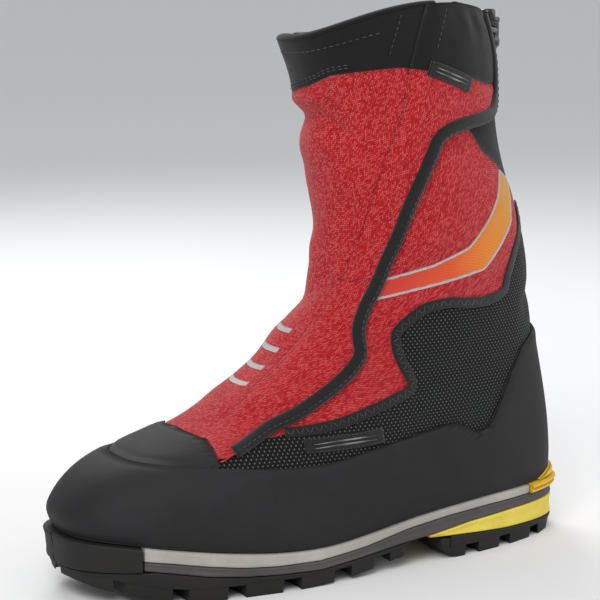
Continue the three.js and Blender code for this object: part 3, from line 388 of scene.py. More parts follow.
def knit(name, dark, mid, light, row=0.95, dash=1.3):
    """Stretch knit: rows of short staggered dashes, each of its own shade, some of them much lighter, with
    painted shade in the grooves between them.
    """
    m = Mat(name)
    uv = m.coords()
    u, v, _ = m.split(uv)
    a = m.add(m.mul(u, 0.83), m.mul(v, 0.56))
    b = m.sub(m.mul(v, 0.83), m.mul(u, 0.56))
    b = m.add(b, m.mul(m.noise(uv, 0.1, 2), 0.4))
    rows = m.math("DIVIDE", b, row)
    line_no = m.math("FLOOR", rows)
    cells = m.add(m.math("DIVIDE", a, dash), m.mul(line_no, 0.5))
    ids = m.nt.nodes.new("ShaderNodeCombineXYZ")
    m.put(ids.inputs[0], m.math("FLOOR", cells))
    m.put(ids.inputs[1], line_no)
    rand = m.nt.nodes.new("ShaderNodeTexWhiteNoise")
    m.put(rand.inputs["Vector"], ids.outputs[0])
    shade = rand.outputs["Value"]
    x = m.math("ABSOLUTE", m.sub(m.math("FRACT", cells), 0.5))
    y = m.math("ABSOLUTE", m.sub(m.math("FRACT", rows), 0.5))
    hill = m.sub(1.0, m.add(m.math("POWER", m.mul(x, 2.0), 3.0), m.math("POWER", m.mul(y, 2.0), 2.0)))
    hill = m.math("MAXIMUM", hill, 0.0)
    # painted shade: each dash darkens towards the grooves round it, following the bump height, and its light
    # flecks fade out there too
    base = m.ramp(hill, [(0.05, dark), (0.7, mid)])
    fleck = m.mul(m.ramp(shade, [(0.35, (0, 0, 0)), (1.0, (1, 1, 1))]), hill)
    color = m.mix(m.mul(fleck, 0.62), base, light)
    deep = m.mul(m.ramp(shade, [(0.0, (1, 1, 1)), (0.35, (0, 0, 0))]), 0.55)
    color = m.mix(deep, color, dark)
    color = m.mix(m.mul(m.noise(uv, 0.05, 3), 0.25), color, dark)
    n = m.bump(hill, 0.5, 0.0004)
    n = m.bump(m.noise(uv, 1.8, 2, 0.7), 0.2, 0.0003, n)
    return m.finish(color, 0.86, n, sheen=0.15, spec=0.2)


def twill(name, dark, light, pitch=0.9, sheen=0.35, rough=0.85, fuzz=0.4):
    m = Mat(name)
    uv = m.coords()
    u, v, _ = m.split(uv)
    a = m.wave(m.add(u, v), pitch)
    b = m.wave(m.sub(u, v), pitch * 0.6)
    h = m.add(m.mul(a, 0.6), m.mul(b, 0.4))
    fluff = m.noise(uv, 1.4, 4, 0.7)
    cloud = m.noise(uv, 0.06, 3)
    fac = m.add(m.mul(fluff, fuzz), m.mul(cloud, 0.35))
    color = m.ramp(fac, [(0.2, dark), (0.75, light)])
    n = m.bump(h, 0.35, 0.0003)
    n = m.bump(fluff, 0.35, 0.0005, n)
    return m.finish(color, rough, n, sheen=sheen, spec=0.3)


def dotted(name, ground, dot, pitch=2.8, radius=0.15):
    m = Mat(name)
    uv = m.coords()
    u, v, _ = m.split(uv)
    row_h = pitch * 0.62
    vv = m.math("DIVIDE", v, row_h)
    row = m.math("FLOOR", vv)
    uu = m.add(m.math("DIVIDE", u, pitch), m.mul(row, 0.5))
    du = m.sub(m.math("FRACT", uu), 0.5)
    dv = m.mul(m.sub(m.math("FRACT", vv), 0.5), row_h / pitch)
    dist = m.math("SQRT", m.add(m.mul(du, du), m.mul(dv, dv)))
    mask = m.ramp(dist, [(radius - 0.04, (1, 1, 1)), (radius + 0.02, (0, 0, 0))])
    grain = m.noise(uv, 1.6, 3, 0.7)
    weave = m.wave(m.add(u, v), 0.7)
    base = m.ramp(grain, [(0.3, ground), (0.8, tuple(c * 1.9 for c in ground))])
    top = m.ramp(grain, [(0.25, tuple(c * 0.65 for c in dot)), (0.7, dot)])
    color = m.mix(m.mul(mask, 0.95), base, top)
    n = m.bump(mask, 0.5, 0.0003)
    n = m.bump(weave, 0.3, 0.0002, n)
    return m.finish(color, m.math("MULTIPLY_ADD", mask, -0.25, 0.85), n, sheen=0.05, spec=0.25)


def rubber(name, dark, light, grain=0.9, rough=0.7, bumpy=0.35, scuff=None, spec=0.35):
    m = Mat(name)
    obj = m.coords("object")
    g = m.noise(obj, 1000 * grain, 3, 0.6)
    broad = m.noise(obj, 28, 4, 0.6)
    color = m.ramp(broad, [(0.3, dark), (0.72, light)])
    if scuff:
        marks = m.ramp(m.noise(obj, 160, 6, 0.75), [(0.62, (0, 0, 0)), (0.75, (1, 1, 1))])
        color = m.mix(m.mul(marks, 0.35), color, scuff)
    n = m.bump(g, bumpy, 0.0003)
    n = m.bump(broad, 0.12, 0.002, n)
    return m.finish(color, m.math("MULTIPLY_ADD", broad, 0.2, rough - 0.1), n, spec=spec)


def tape_mat(name, dark, light, rib=0.8):
    m = Mat(name)
    u, v, _ = m.split(m.coords())
    ribs = m.wave(u, rib)
    cross = m.wave(v, 0.6)
    h = m.add(m.mul(ribs, 0.7), m.mul(cross, 0.3))
    grain = m.noise(m.coords("object"), 900, 3, 0.7)
    # painted shade and highlight: the rib grooves darker and the rib tops lighter, following the bump height,
    # broken up by random grain
    color = m.ramp(m.mul(h, grain), [(0.1, dark), (0.6, light)])
    n = m.bump(h, 0.6, 0.0003)
    return m.finish(color, 0.8, n, sheen=0.25, spec=0.3)


def plain(name, dark, light, rough, metallic=0.0, coat=0.0, scale=60, bumpy=0.05, spec=0.5):
    m = Mat(name)
    obj = m.coords("object")
    broad = m.noise(obj, scale, 4, 0.6)
    fine = m.noise(obj, scale * 22, 2, 0.6)
    color = m.ramp(broad, [(0.3, dark), (0.75, light)])
    n = m.bump(fine, bumpy, 0.0002)
    return m.finish(color, m.math("MULTIPLY_ADD", broad, 0.12, rough - 0.05), n, metallic=metallic,
                    coat=coat, spec=spec)


def gradient_print(name):
    m = Mat(name)
    uv = m.coords()
    u, v, _ = m.split(uv)
    along_band = m.math("MULTIPLY_ADD", u, 1 / 90, 0.42)
    color = m.ramp(along_band, [(0.0, lin(196, 52, 40)), (0.35, lin(206, 78, 34)), (0.62, lin(212, 122, 34)),
                                (1.0, lin(196, 150, 52))])
    a = m.wave(m.add(u, v), 1.5)
    b = m.wave(m.sub(u, v), 1.5)
    dots = m.ramp(m.mul(a, b), [(0.35, (0, 0, 0)), (0.5, (1, 1, 1))])
    color = m.mix(m.mul(dots, 0.35), color, lin(150, 34, 36))
    grain = m.noise(uv, 1.3, 3, 0.7)
    n = m.bump(grain, 0.3, 0.0003)
    n = m.bump(m.wave(m.add(u, m.mul(v, 0.5)), 1.5), 0.3, 0.0003, n)
    return m.finish(color, 0.62, n, sheen=0.1, spec=0.35)


RED = knit("red_fabric", lin(128, 10, 20), lin(204, 26, 38), lin(244, 128, 124))
BLACK = twill("black_fabric", lin(4, 4, 5), lin(20, 20, 21), sheen=0.12)
DOTTED = dotted("dotted_fabric", lin(7, 7, 8), lin(104, 106, 108))
RAND = rubber("rand_rubber", lin(20, 20, 22), lin(34, 34, 36), scuff=lin(52, 52, 54))
TREAD = rubber("outsole_rubber", lin(18, 17, 16), lin(32, 30, 28), rough=0.65)
CUSHION = rubber("cushion_foam", lin(66, 62, 63), lin(84, 79, 79), grain=0.6)
WELT = rubber("welt_foam", lin(150, 148, 140), lin(176, 174, 166), grain=0.6)
YFOAM = rubber("yellow_foam", lin(208, 184, 58), lin(232, 212, 92), grain=0.6)
YPLAST = plain("yellow_plastic", lin(214, 168, 28), lin(236, 194, 52), 0.45)
BIND = tape_mat("binding_tape", lin(5, 5, 6), lin(26, 26, 28))
LINER = twill("liner_fabric", lin(28, 28, 30), lin(62, 62, 66), pitch=1.2)
BOARD = plain("board", lin(120, 104, 78), lin(158, 140, 106), 0.85, bumpy=0.3)
SHANK = plain("shank_plastic", lin(22, 24, 28), lin(40, 43, 48), 0.35)
ZTAPE = tape_mat("zip_tape_fabric", lin(14, 14, 15), lin(50, 50, 52), rib=0.6)
ZMETAL = plain("zip_metal", lin(70, 70, 74), lin(120, 120, 126), 0.3, metallic=1.0)
LOCK = plain("lock_plastic", lin(6, 6, 7), lin(14, 14, 15), 0.16, coat=0.4, bumpy=0.02)
SPRING = plain("spring_steel", lin(170, 172, 176), lin(205, 207, 210), 0.25, metallic=1.0)
CORD = tape_mat("cord_grey", lin(60, 60, 58), lin(150, 150, 144), rib=1.1)
LABEL = tape_mat("label_black", lin(4, 4, 5), lin(18, 18, 20), rib=0.5)
THREAD = plain("thread_black", lin(44, 44, 46), lin(84, 84, 86), 0.6)
THREAD_RED = plain("thread_red", lin(120, 16, 26), lin(190, 44, 54), 0.6)
GRADIENT = gradient_print("print_gradient")
WHITE = twill("print_white", lin(150, 146, 144), lin(216, 214, 212), pitch=1.2, sheen=0.1, rough=0.6)


# ---------------------------------------------------------------- mesh makers
def make(name, verts, faces, material, body="boot", nodes=(), uv=None, smooth=True):
    """An object from vertices in millimetres."""
    me = bpy.data.meshes.new(name)
    me.from_pydata([tuple(v) for v in np.asarray(verts) * MM], [], [tuple(int(i) for i in f) for f in faces])
    me.validate()
    if uv is not None:
        layer = me.uv_layers.new(name="UVMap")
        idx = np.empty(len(me.loops), np.int32)
        me.loops.foreach_get("vertex_index", idx)
        layer.data.foreach_set("uv", np.asarray(uv, np.float32)[idx].ravel())
    me.materials.append(material)
    if smooth:
        me.polygons.foreach_set("use_smooth", np.ones(len(me.polygons), bool))
    me.update()
    obj = bpy.data.objects.new(name, me)
    sc.collection.objects.link(obj)
    if body:
        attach(obj, body)
    if nodes:
        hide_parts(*nodes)
    return obj


def value(f, t, d):
    return f(t, d) if callable(f) else np.full(np.shape(t), float(f))


def wall_distance(a, b, t, deg):
    """How far inside the ranges t and deg a point lies, in millimetres."""
    return np.minimum(np.minimum((a - t[0]) * STATION_MM, (t[1] - a) * STATION_MM),
                      np.minimum((b - deg[0]) * DEGREE_MM, (deg[1] - b) * DEGREE_MM))


def chart(material, t, deg, p):
    """Fabric coordinates in millimetres: from the front line for the red, upright on the sides for others."""
    if material is GRADIENT:
        return np.stack([lookup(ARC_U, t, deg), lookup(ARC_V, t, deg)], -1)
    if material is RED:
        return np.stack([lookup(ARC_U, t, deg) - lookup(ARC_U, t, 0 * deg), lookup(ARC_V, t, deg)], -1)
    side = np.abs(((deg + 180) % 360) - 180)
    return np.stack([lookup(ARC_U, t, side) + surf(t, 90 + 0 * deg)[..., 1], p[..., 2]], -1)


def layer(name, material, t, deg, outer, inner, keep=(), body="boot", nodes=None, dt=0.085, dd=2.1,
          roll=0.45, roll_w=1.3, wrinkle=1.0, extra=None, slot=None, ends=True):
    """Sewn or moulded layer of the upper between two offsets, cut by fields in millimetres that stay >= 0."""
    nt = max(2, int(round((t[1] - t[0]) / (dt / FINE)))) + 1
    nd = max(2, int(round((deg[1] - deg[0]) / (dd / FINE)))) + 1
    tt, dg = np.meshgrid(np.linspace(t[0], t[1], nt), np.linspace(deg[0], deg[1], nd), indexing="ij")

    def field(a, b):
        out = np.full(np.shape(a), 60.0)
        for f in keep:
            out = np.minimum(out, f(a, b))
        return out

    f0 = field(tt, dg)
    cell = (f0[:-1, :-1] + f0[1:, :-1] + f0[:-1, 1:] + f0[1:, 1:]) / 4 > 0
    ids = np.arange(nt * nd).reshape(nt, nd)
    quads = np.stack([ids[:-1, :-1], ids[:-1, 1:], ids[1:, 1:], ids[1:, :-1]], -1)[cell]
    used = np.zeros(nt * nd, bool)
    used[quads.ravel()] = True
    count = np.zeros((nt, nd), int)
    for di in (0, 1):
        for dj in (0, 1):
            count[di:nt - 1 + di, dj:nd - 1 + dj] += cell
    full = np.full((nt, nd), 4)
    full[0, :] = full[-1, :] = 2
    full[:, 0] = full[:, -1] = 2
    full[0, 0] = full[0, -1] = full[-1, 0] = full[-1, -1] = 1
    rim = (count > 0) & (count < full)
    a, b = tt[rim], dg[rim]
    if len(a):
        for _ in range(6):
            f = field(a, b)
            ft = (field(a + 0.01, b) - f) / 0.01
            fd = (field(a, b + 0.25) - f) / 0.25
            g = (ft / STATION_MM) ** 2 + (fd / DEGREE_MM) ** 2 + 1e-6
            step = f / g
            a = a - np.clip(step * ft / STATION_MM ** 2, -dt * 0.8, dt * 0.8)
            b = b - np.clip(step * fd / DEGREE_MM ** 2, -dd * 0.8, dd * 0.8)
        a, b = np.clip(a, t[0], t[1]), np.clip(b, deg[0], deg[1])
        tt[rim], dg[rim] = a, b
    ftrue = np.maximum(field(tt, dg), 0)
    ftrue[rim] = 0
    wall = wall_distance(tt, dg, t, deg)
    edge = np.minimum(ftrue, np.maximum(wall, 0)) if ends else ftrue
    p, n = surf(tt, dg), normal(tt, dg)
    soft = sag(tt, dg) * wrinkle if wrinkle else 0.0
    hi = value(outer, tt, dg) + soft - roll * np.exp(-(edge / roll_w) ** 2)
    lo = value(inner, tt, dg) + soft
    if extra is not None:
        hi = hi + extra(tt, dg, edge)
    hi = np.maximum(hi, lo + 0.15)
    vh = (p + n * hi[..., None]).reshape(-1, 3)
    vl = (p + n * lo[..., None]).reshape(-1, 3)
    uv = chart(material, tt, dg, p).reshape(-1, 2)
    remap = -np.ones(nt * nd, int)
    remap[used] = np.arange(used.sum())
    m = int(used.sum())
    q = remap[quads]
    e = np.concatenate([q[:, [0, 1]], q[:, [1, 2]], q[:, [2, 3]], q[:, [3, 0]]])
    key = np.sort(e, 1)
    _, inv, cnt = np.unique(key, axis=0, return_inverse=True, return_counts=True)
    border = e[cnt[np.ravel(inv)] == 1]
    faces = [list(f) for f in q[:, ::-1]] + [list(f + m) for f in q]
    faces += [[s, r, r + m, s + m] for r, s in border]
    obj = make(name, np.concatenate([vh[used], vl[used]]), [f[::-1] for f in faces], material, body,
               nodes if nodes is not None else (name,), np.concatenate([uv[used], uv[used]]))
    return obj


def along(pts, spacing=1.2, off=0.0, wrinkle=1.0):
    """Frames every so many millimetres along a curve drawn on the upper: positions, across, out, tangent."""
    pts = np.asarray(pts, float)
    k = np.linspace(0, len(pts) - 1, 60 * len(pts))
    t, d = spline(pts[:, 0], k), spline(pts[:, 1], k)
    p = surf(t, d)
    s = np.concatenate([[0], np.cumsum(np.linalg.norm(np.diff(p, axis=0), axis=1))])
    n = max(4, int(s[-1] / spacing))
    at = np.linspace(0, s[-1], n + 1)
    t, d = np.interp(at, s, t), np.interp(at, s, d)
    v = normal(t, d)
    p = surf(t, d) + v * (value(off, t, d) + (sag(t, d) * wrinkle if wrinkle else 0))[..., None]
    tan = unit(np.gradient(p, axis=0))
    u = unit(np.cross(v, tan))
    v = unit(np.cross(tan, u))
    return p, u, v, tan, at


def sweep(name, frames, section, material, body="boot", nodes=(), closed=False, cap=True):
    p, u, v, tan, at = frames
    section = np.asarray(section, float)
    n, m = len(section), len(p)
    verts = p[:, None] + u[:, None] * section[None, :, :1] + v[:, None] * section[None, :, 1:]
    verts = verts.reshape(-1, 3)
    peri = np.concatenate([[0], np.cumsum(np.linalg.norm(np.diff(section, axis=0), axis=1))])
    uv = np.stack([np.repeat(at, n), np.tile(peri, m)], -1)
    faces = []
    for i in range(m if closed else m - 1):
        j = (i + 1) % m
        for k in range(n):
            l = (k + 1) % n
            faces.append([i * n + k, i * n + l, j * n + l, j * n + k])
    if not closed and cap:
        faces.append([k for k in range(n)][::-1])
        faces.append([(m - 1) * n + k for k in range(n)])
    faces = [f[::-1] for f in faces]
    return make(name, verts, faces, material, body, nodes, uv)


def rounded(w, lo, hi, r=0.4, crown=0.0, n=3, x0=0.0):
    """Rounded rectangular section, w across, from lo to hi, crowned in the middle."""
    r = min(r, (hi - lo) / 2, w / 2)
    out = []
    for cx, cy, a0 in ((w / 2 - r, lo + r, -90), (w / 2 - r, hi - r, 0), (-w / 2 + r, hi - r, 90),
                       (-w / 2 + r, lo + r, 180)):
        for k in range(n + 1):
            a = math.radians(a0 + 90 * k / n)
            out.append([cx + r * math.cos(a), cy + r * math.sin(a)])
        if a0 == 0 and crown:
            for k in range(1, 6):
                x = (w / 2 - r) * (1 - k / 3)
                out.append([x, hi + crown * (1 - (x / (w / 2)) ** 2)])
    return [[a + x0, b] for a, b in out]


def circle(r, n=12):
    return [[r * math.cos(2 * math.pi * k / n), r * math.sin(2 * math.pi * k / n)] for k in range(n)]


def stitches(name, frames_list, material, body="boot", length=2.2, gap=1.0, width=0.55, height=0.35,
             zig=0.0, shift=0.0):
    """Rows of thread: small raised capsules along the given frames, slanted for a zigzag."""
    verts, faces, uvs = [], [], []
    ring, cut = 6, 5
    for p, u, v, tan, at in frames_list:
        total = at[-1]
        count = int(total / (length + gap))
        for k in range(count):
            mid = (k + 0.5) * total / count
            c = np.array([np.interp(mid, at, p[:, i]) for i in range(3)])
            cu = unit(np.array([np.interp(mid, at, u[:, i]) for i in range(3)]))
            cv = unit(np.array([np.interp(mid, at, v[:, i]) for i in range(3)]))
            ct = np.cross(cu, cv)
            if np.dot(ct, np.array([np.interp(mid, at, tan[:, i]) for i in range(3)])) < 0:
                ct = -ct
            ang = math.radians(zig if k % 2 else -zig)
            axis = ct * math.cos(ang) + cu * math.sin(ang)
            side = np.cross(cv, axis)
            c = c + cu * shift
            base = len(verts)
            for i in range(cut):
                s = -1 + 2 * i / (cut - 1)
                w = math.sqrt(max(1 - (abs(s) ** 3), 0.02))
                for j in range(ring):
                    a = 2 * math.pi * j / ring
                    verts.append(c + axis * s * length / 2 + side * width / 2 * w * math.cos(a)
                                 + cv * (height * w * math.sin(a) + height * 0.3 * (1 - s * s)))
                    uvs.append((s, j / ring))
            for i in range(cut - 1):
                for j in range(ring):
                    l = (j + 1) % ring
                    faces.append([base + i * ring + j, base + i * ring + l, base + (i + 1) * ring + l,
                                  base + (i + 1) * ring + j])
            faces.append([base + j for j in range(ring)][::-1])
            faces.append([base + (cut - 1) * ring + j for j in range(ring)])
    return make(name, verts, faces, material, body, (), uvs)


# ---------------------------------------------------------------- zip arc, as the frame has it
def slot_angle(t, origin, side):
    """Angle at station t where the upper crosses the plane through origin across side."""
    lo, hi = 18.0, 122.0
    for _ in range(40):
        m = (lo + hi) / 2
        if np.dot(surf(t, m) - origin, side) > 0:
            hi = m
        else:
            lo = m
    return m


def arc_of_zip():
    a, c = surf(7.1, 43), surf(10.4, 97)
    side = unit(np.cross(c - a, normal(8.5, 68)))
    if side[0] + side[1] < 0:
        side = -side
    mid = surf(8.5, slot_angle(8.5, a, side))
    chord = unit(c - a)
    out = unit(np.cross(side, chord))
    if np.dot(out, normal(8.5, 68)) < 0:
        out = -out
    half = np.linalg.norm(c - a) / 2
    mx, my = np.dot(mid - a, chord) - half, np.dot(mid - a, out)
    drop = (half * half - mx * mx - my * my) / (2 * my)
    return a, side, chord, out, half, math.hypot(half, drop), a + chord * half - out * drop


ZIP_A, ZIP_SIDE, ZIP_CHORD, ZIP_OUT, HALF, ZIP_R, ZIP_CENTRE = arc_of_zip()
ZIP_HALF = ZIP_R * math.asin(HALF / ZIP_R)
ZIP_H = -5.0
LOW_SEAM = [[2.0, 30], [3.0, 30], [4.5, 33], [5.9, 34]]
ZIP_SLOT = 6.6


def zip_point(s, w, h):
    a = s / ZIP_R
    return (ZIP_CENTRE + ZIP_CHORD * math.sin(a) * (ZIP_R + h) + ZIP_OUT * math.cos(a) * (ZIP_R + h)
            + ZIP_SIDE * w)


def zip_frames(s0, s1, h, n):
    at = np.linspace(s0, s1, n + 1)
    p = np.array([zip_point(s, 0, h) for s in at])
    v = np.array([zip_point(s, 0, 1) - zip_point(s, 0, 0) for s in at])
    u = np.repeat(ZIP_SIDE[None], n + 1, 0)
    tan = unit(np.gradient(p, axis=0))
    return p, u, v, tan, at - s0


def slot(t, d):
    low = (d - line(LOW_SEAM, t)) * 0.75
    mid = 34 + (t - 6.5) * 16
    gap = np.where(np.abs(d - mid) < 75, (surf(t, d) - ZIP_A) @ ZIP_SIDE, np.sign(d - mid) * 60)
    k = np.clip((t - 5.8) / 0.4, 0, 1)
    return np.where(t < 5.8, low, low * (1 - k) + gap * k)


def slot_half(t):
    return 0.15 + (ZIP_SLOT - 0.15) * np.clip((t - 5.7) / 0.6, 0, 1)


def front_of_slot(t, d):
    return -slot(t, d) - slot_half(t)


def rear_of_slot(t, d):
    return slot(t, d) - slot_half(t)


# ---------------------------------------------------------------- gaiter shell
LIFT = 0.0
GAP = 0.3


def rough_cloth(t, d, edge):
    return 0.10 * smooth_noise(11, t, d, 0.12, 4)


def shell(name, material, t, deg, keep, **more):
    return layer(name, material, t, deg, LIFT, -1.6, keep, extra=rough_cloth, roll=0.7, roll_w=1.4, **more)


def mirrored(f):
    return lambda t, d: f(t, -d)


def back_line(f):
    return lambda t, d: f(t, np.where(d > 180, 360 - d, d))


shell("front_panel", RED, (0.05, 10.5), (-55, 125),
      [front_of_slot, left_of(TAPE), right_of(mirror(TAPE)), below(COLLAR)])
shell("quarter_lateral", RED, (0.05, 10.2), (10, 180),
      [rear_of_slot, left_of(TAPE), below(COLLAR), below(QUARTER_TOP)])
shell("quarter_medial", RED, (0.05, 10.2), (-180, -55),
      [right_of(mirror(TAPE)), below(COLLAR), mirrored(below(QUARTER_TOP))])
shell("side_panel_lateral", DOTTED, (0.05, 9), (20, 180), [right_of(TAPE), below(QUARTER_TOP)])
shell("side_panel_medial", DOTTED, (0.05, 9), (-180, -20),
      [left_of(mirror(TAPE)), mirrored(below(QUARTER_TOP))])
shell("back_panel", BLACK, (7, 10), (99, 261),
      [back_line(above(QUARTER_TOP)), below(COLLAR), rear_of_slot])

# drawcord and lock positions
LOCK_T, LOCK_DEG, LOCK_R, CORD_D = 10.55, 174, 7.0, 2.6
lock_n = normal(LOCK_T, LOCK_DEG) * [1, 1, 0]
lock_n = unit(lock_n)
lock_u = np.array([-lock_n[1], lock_n[0], 0])
lock_c = surf(LOCK_T, LOCK_DEG) + lock_n * (LOCK_R + 2)
EXITS = (LOCK_DEG + 18, LOCK_DEG - 18)


def exit_holes(t, d):
    out = np.full(np.shape(t), 50.0)
    for e in EXITS:
        out = np.minimum(out, np.hypot((t - LOCK_T) * 18, (d - e) * DEGREE_MM) - 2.6)
    return out


HEM = 10.98
shell("collar_front", BLACK, (9, HEM), (-99.8, 125), [above(COLLAR), front_of_slot])
shell("collar_rear", BLACK, (9, HEM), (60, 260), [above(COLLAR), rear_of_slot, exit_holes])
layer("collar_facing", BLACK, (10.1, HEM), (60, 460), -5.7, -6.6,
      [lambda t, d: np.where(d < 270, rear_of_slot(t, d), front_of_slot(t, d - 360))], extra=None)


def hem_roll(name, a, b, body="boot", top=0.0, bottom=-6.4, rise=1.7, material=BLACK):
    """Folded top edge from the outer face over to the facing."""
    deg = np.linspace(a, b, max(6, int(abs(b - a) / 2)))
    frames = along(np.stack([np.full(len(deg), HEM), deg], 1), 1.6)
    p, u, v, tan, at = frames
    if np.mean(u[:, 2]) < 0:
        u = -u
    mid, half = (top + bottom) / 2, (top - bottom) / 2
    n = 14
    outer = [[-0.6 + (rise + 0.6) * math.sin(math.pi * k / n) ** 0.75, mid + half * math.cos(math.pi * k / n)]
             for k in range(n + 1)]
    inner = [[a2 - 1.0 if 0 < i < n else -0.6, mid + (b2 - mid) * 0.75] for i, (a2, b2) in enumerate(outer)]
    return sweep(name, (p, u, v, tan, at), outer + inner[::-1], material, body)


def slot_edge(f, d, step):
    while f(HEM, d) < 0.4:
        d += step
    return d


hem_roll("collar_hem_front", -99, slot_edge(front_of_slot, 110.0, -0.5))
hem_roll("collar_hem_rear", slot_edge(rear_of_slot, 80.0, 0.5), 259)

# ---------------------------------------------------------------- rubber
RUBBER_OUT = GAP + 2.6


def rubber_skin(t, d, edge):
    return 0.06 * smooth_noise(21, t, d, 0.2, 8)


def molded(name, t, deg, keep=(), out=RUBBER_OUT, **more):
    return layer(name, RAND, t, deg, out, GAP, keep, wrinkle=0, roll=1.3, roll_w=1.5,
                 extra=rubber_skin, **more)


molded("rand", (0.05, 6), (-180, 180), [both_sides(below(RAND_TOP))], ends=False,
       nodes=("toe_rand", "rand_lateral", "rand_medial", "heel_rand"))
molded("toe_cap", (2.31, 4), (-43.6, 43.6), [below(CAP_TOP)], out=GAP + 2.2)
# yellow lip up the back of the heel
LIP_TOP = [[152, 0.05], [160, 0.3], [168, 0.42], [180, 0.45]]
layer("heel_lip", YPLAST, (0.02, 0.5), (152, 208), GAP + 5.6, GAP + 2.7,
      [back_line(lambda t, d: (line(LIP_TOP, d) - t) * STATION_MM)],
      nodes=(), wrinkle=0, roll=1.2, roll_w=2.0, dt=0.04)


# ---------------------------------------------------------------- inner boot
def deep(t):
    return 5 + 3.9 * np.clip((t - 3.5) / 2, 0, 1)


def padded_layer(name, t, deg, quilt=True):
    def outer(a, b):
        return -deep(a)

    def inner(a, b):
        wall = wall_distance(a, b, t, deg)
        puff = 1 - np.exp(-(np.maximum(wall, 0) / 3.5) ** 2)
        lanes = np.abs(np.sin(math.pi * (a - t[0]) / 0.78)) ** 0.5 if quilt else 1.0
        return -deep(a) - 2.2 - 1.1 * puff * lanes
    obj = layer(name, LINER, t, deg, outer, inner, wrinkle=0, roll=0.8, roll_w=1.6)
    return obj


padded_layer("liner_foot_lateral", (0.05, 3.1), (0.15, 179.85), False)
padded_layer("liner_foot_medial", (0.05, 3.1), (-179.85, -0.15), False)
padded_layer("liner_cuff_lateral", (3.12, 10.85), (30, 179.85))
padded_layer("liner_cuff_medial", (3.12, 10.85), (-179.85, -30))
padded_layer("tongue", (3.12, 10.95), (-29.4, 29.4), False)


# ---------------------------------------------------------------- sole
WELT_OUT, LEDGE_OUT = 5.0, 8.0
TOE_SPLIT, HEEL_SPLIT, ARCH_SPLIT, WEDGE_START, HEEL_TREAD = 36, 144, 102, 108, 114


def edge(deg, out):
    return (surf(0.0, deg) + normal(0.0, deg) * np.asarray(out)[..., None])[..., :2]


def over(pts):
    return lambda y: line(pts, np.asarray(y) + CENTRE[1])


def sole_top(y):
    return smooth_line(SOLE_TOP, np.asarray(y) + CENTRE[1])


def welt_top(y):
    return sole_top(y) - 0.5


welt_bottom = over([[-128, 25], [-111, 22.9], [-91, 19.6], [-71, 16.8], [-52, 15.4], [-26, 15],
                    [4, 17.9], [34, 23.1], [64, 26.2], [92, 27.6], [130, 27.8]])
cushion_bottom = over([[-128, 20], [-109, 17.2], [-91, 14], [-71, 11.8], [-52, 10.6], [-26, 9.6],
                       [4, 12.4], [34, 15.6], [46, 16.4], [54, 17.1], [79, 20.2], [109, 21.6], [130, 21.8]])
wedge_bottom = over([[44, 15.6], [56, 14.6], [79, 13], [109, 11], [160, 9.4]])
ground = over([[-162, 15], [-145, 9.5], [-130, 5], [-115, 2], [-100, 0.4], [-92, 0], [-34, 0],
               [-15, 1], [5, 3.2], [25, 6.5], [45, 9], [60, 8], [66, 0], [146, 0], [160, 3]])
WEDGE_FRONT = float(edge(np.array(108.0), WELT_OUT)[1]) - 3


def tread_top(y):
    y = np.asarray(y)
    return np.where(y < WEDGE_FRONT, np.minimum(cushion_bottom(y), 18.6), wedge_bottom(y)) - GAP


def tread_bottom(y):
    return np.minimum(tread_top(y) - 2.6, ground(y) + 7.2)


def heel_tread_bottom(y):
    return np.minimum(tread_top(y) - 2.6, 6.4)


def wall_profile(r, steps=3, waist=0.0):
    """Side wall from top to bottom as (inset, share of height, drop): rounded at both corners."""
    out = []
    for k in range(steps + 1):
        a = math.pi / 2 * k / steps
        out.append((r * (1 - math.sin(a)), 0.0, r * (1 - math.cos(a))))
    for f in (0.3, 0.5, 0.7):
        out.append((waist, f, 0.0))
    for k in range(steps + 1):
        a = math.pi / 2 * (1 - k / steps)
        out.append((r * (1 - math.sin(a)), 1.0, -r * (1 - math.cos(a))))
    return out


def plate(name, material, out, deg, top, bottom, out_bottom=None, r=0.9, step=1.5, waist=0.0, profile=None):
    out_bottom = out if out_bottom is None else out_bottom
    n = int(round((deg[1] - deg[0]) / step))
    rows, inner = [], 7
    prof = profile or wall_profile(r, waist=waist)
    for d in np.linspace(deg[0], deg[1], n + 1):
        d = min(max(d, 0.15), 179.85)
        sides = {}
        for sgn in (1, -1):
            ring = []
            for inset, f, drop in prof:
                o = out * (1 - f) + out_bottom * f - inset
                e = edge(np.array(sgn * d), o)
                zt, zb = float(top(e[1])), float(bottom(e[1]))
                h = max(zt - zb, 0.3)
                if f == 0:
                    z = zt - min(drop, h * 0.35)
                elif f == 1:
                    z = zb + min(-drop, h * 0.35)
                else:
                    z = zt - h * f
                ring.append([e[0], e[1], z])
            sides[sgn] = np.array(ring)
        tl, tm = sides[1][0], sides[-1][0]
        bl, bm = sides[1][-1], sides[-1][-1]
        row = []
        for k in range(1, inner):
            q = tm + (tl - tm) * k / inner
            row.append([q[0], q[1], float(top(q[1]))])
        row += sides[1].tolist()
        for k in range(1, inner):
            q = bl + (bm - bl) * k / inner
            row.append([q[0], q[1], min(float(bottom(q[1])), float(top(q[1])) - 0.3)])
        row += sides[-1][::-1].tolist()
        rows.append(row)
    m = len(rows[0])
    verts = np.array(rows).reshape(-1, 3)
    faces = []
    for i in range(len(rows) - 1):
        for k in range(m):
            l = (k + 1) % m
            faces.append([i * m + k, (i + 1) * m + k, (i + 1) * m + l, i * m + l])
    faces.append(list(range(m)))
    faces.append([(len(rows) - 1) * m + k for k in range(m)][::-1])
    return tidy_solid(make(name, verts, faces, material, "boot", (name,)))


def soften(bm, angle):
    for e in bm.edges:
        e.smooth = len(e.link_faces) < 2 or e.calc_face_angle(0) < math.radians(angle)


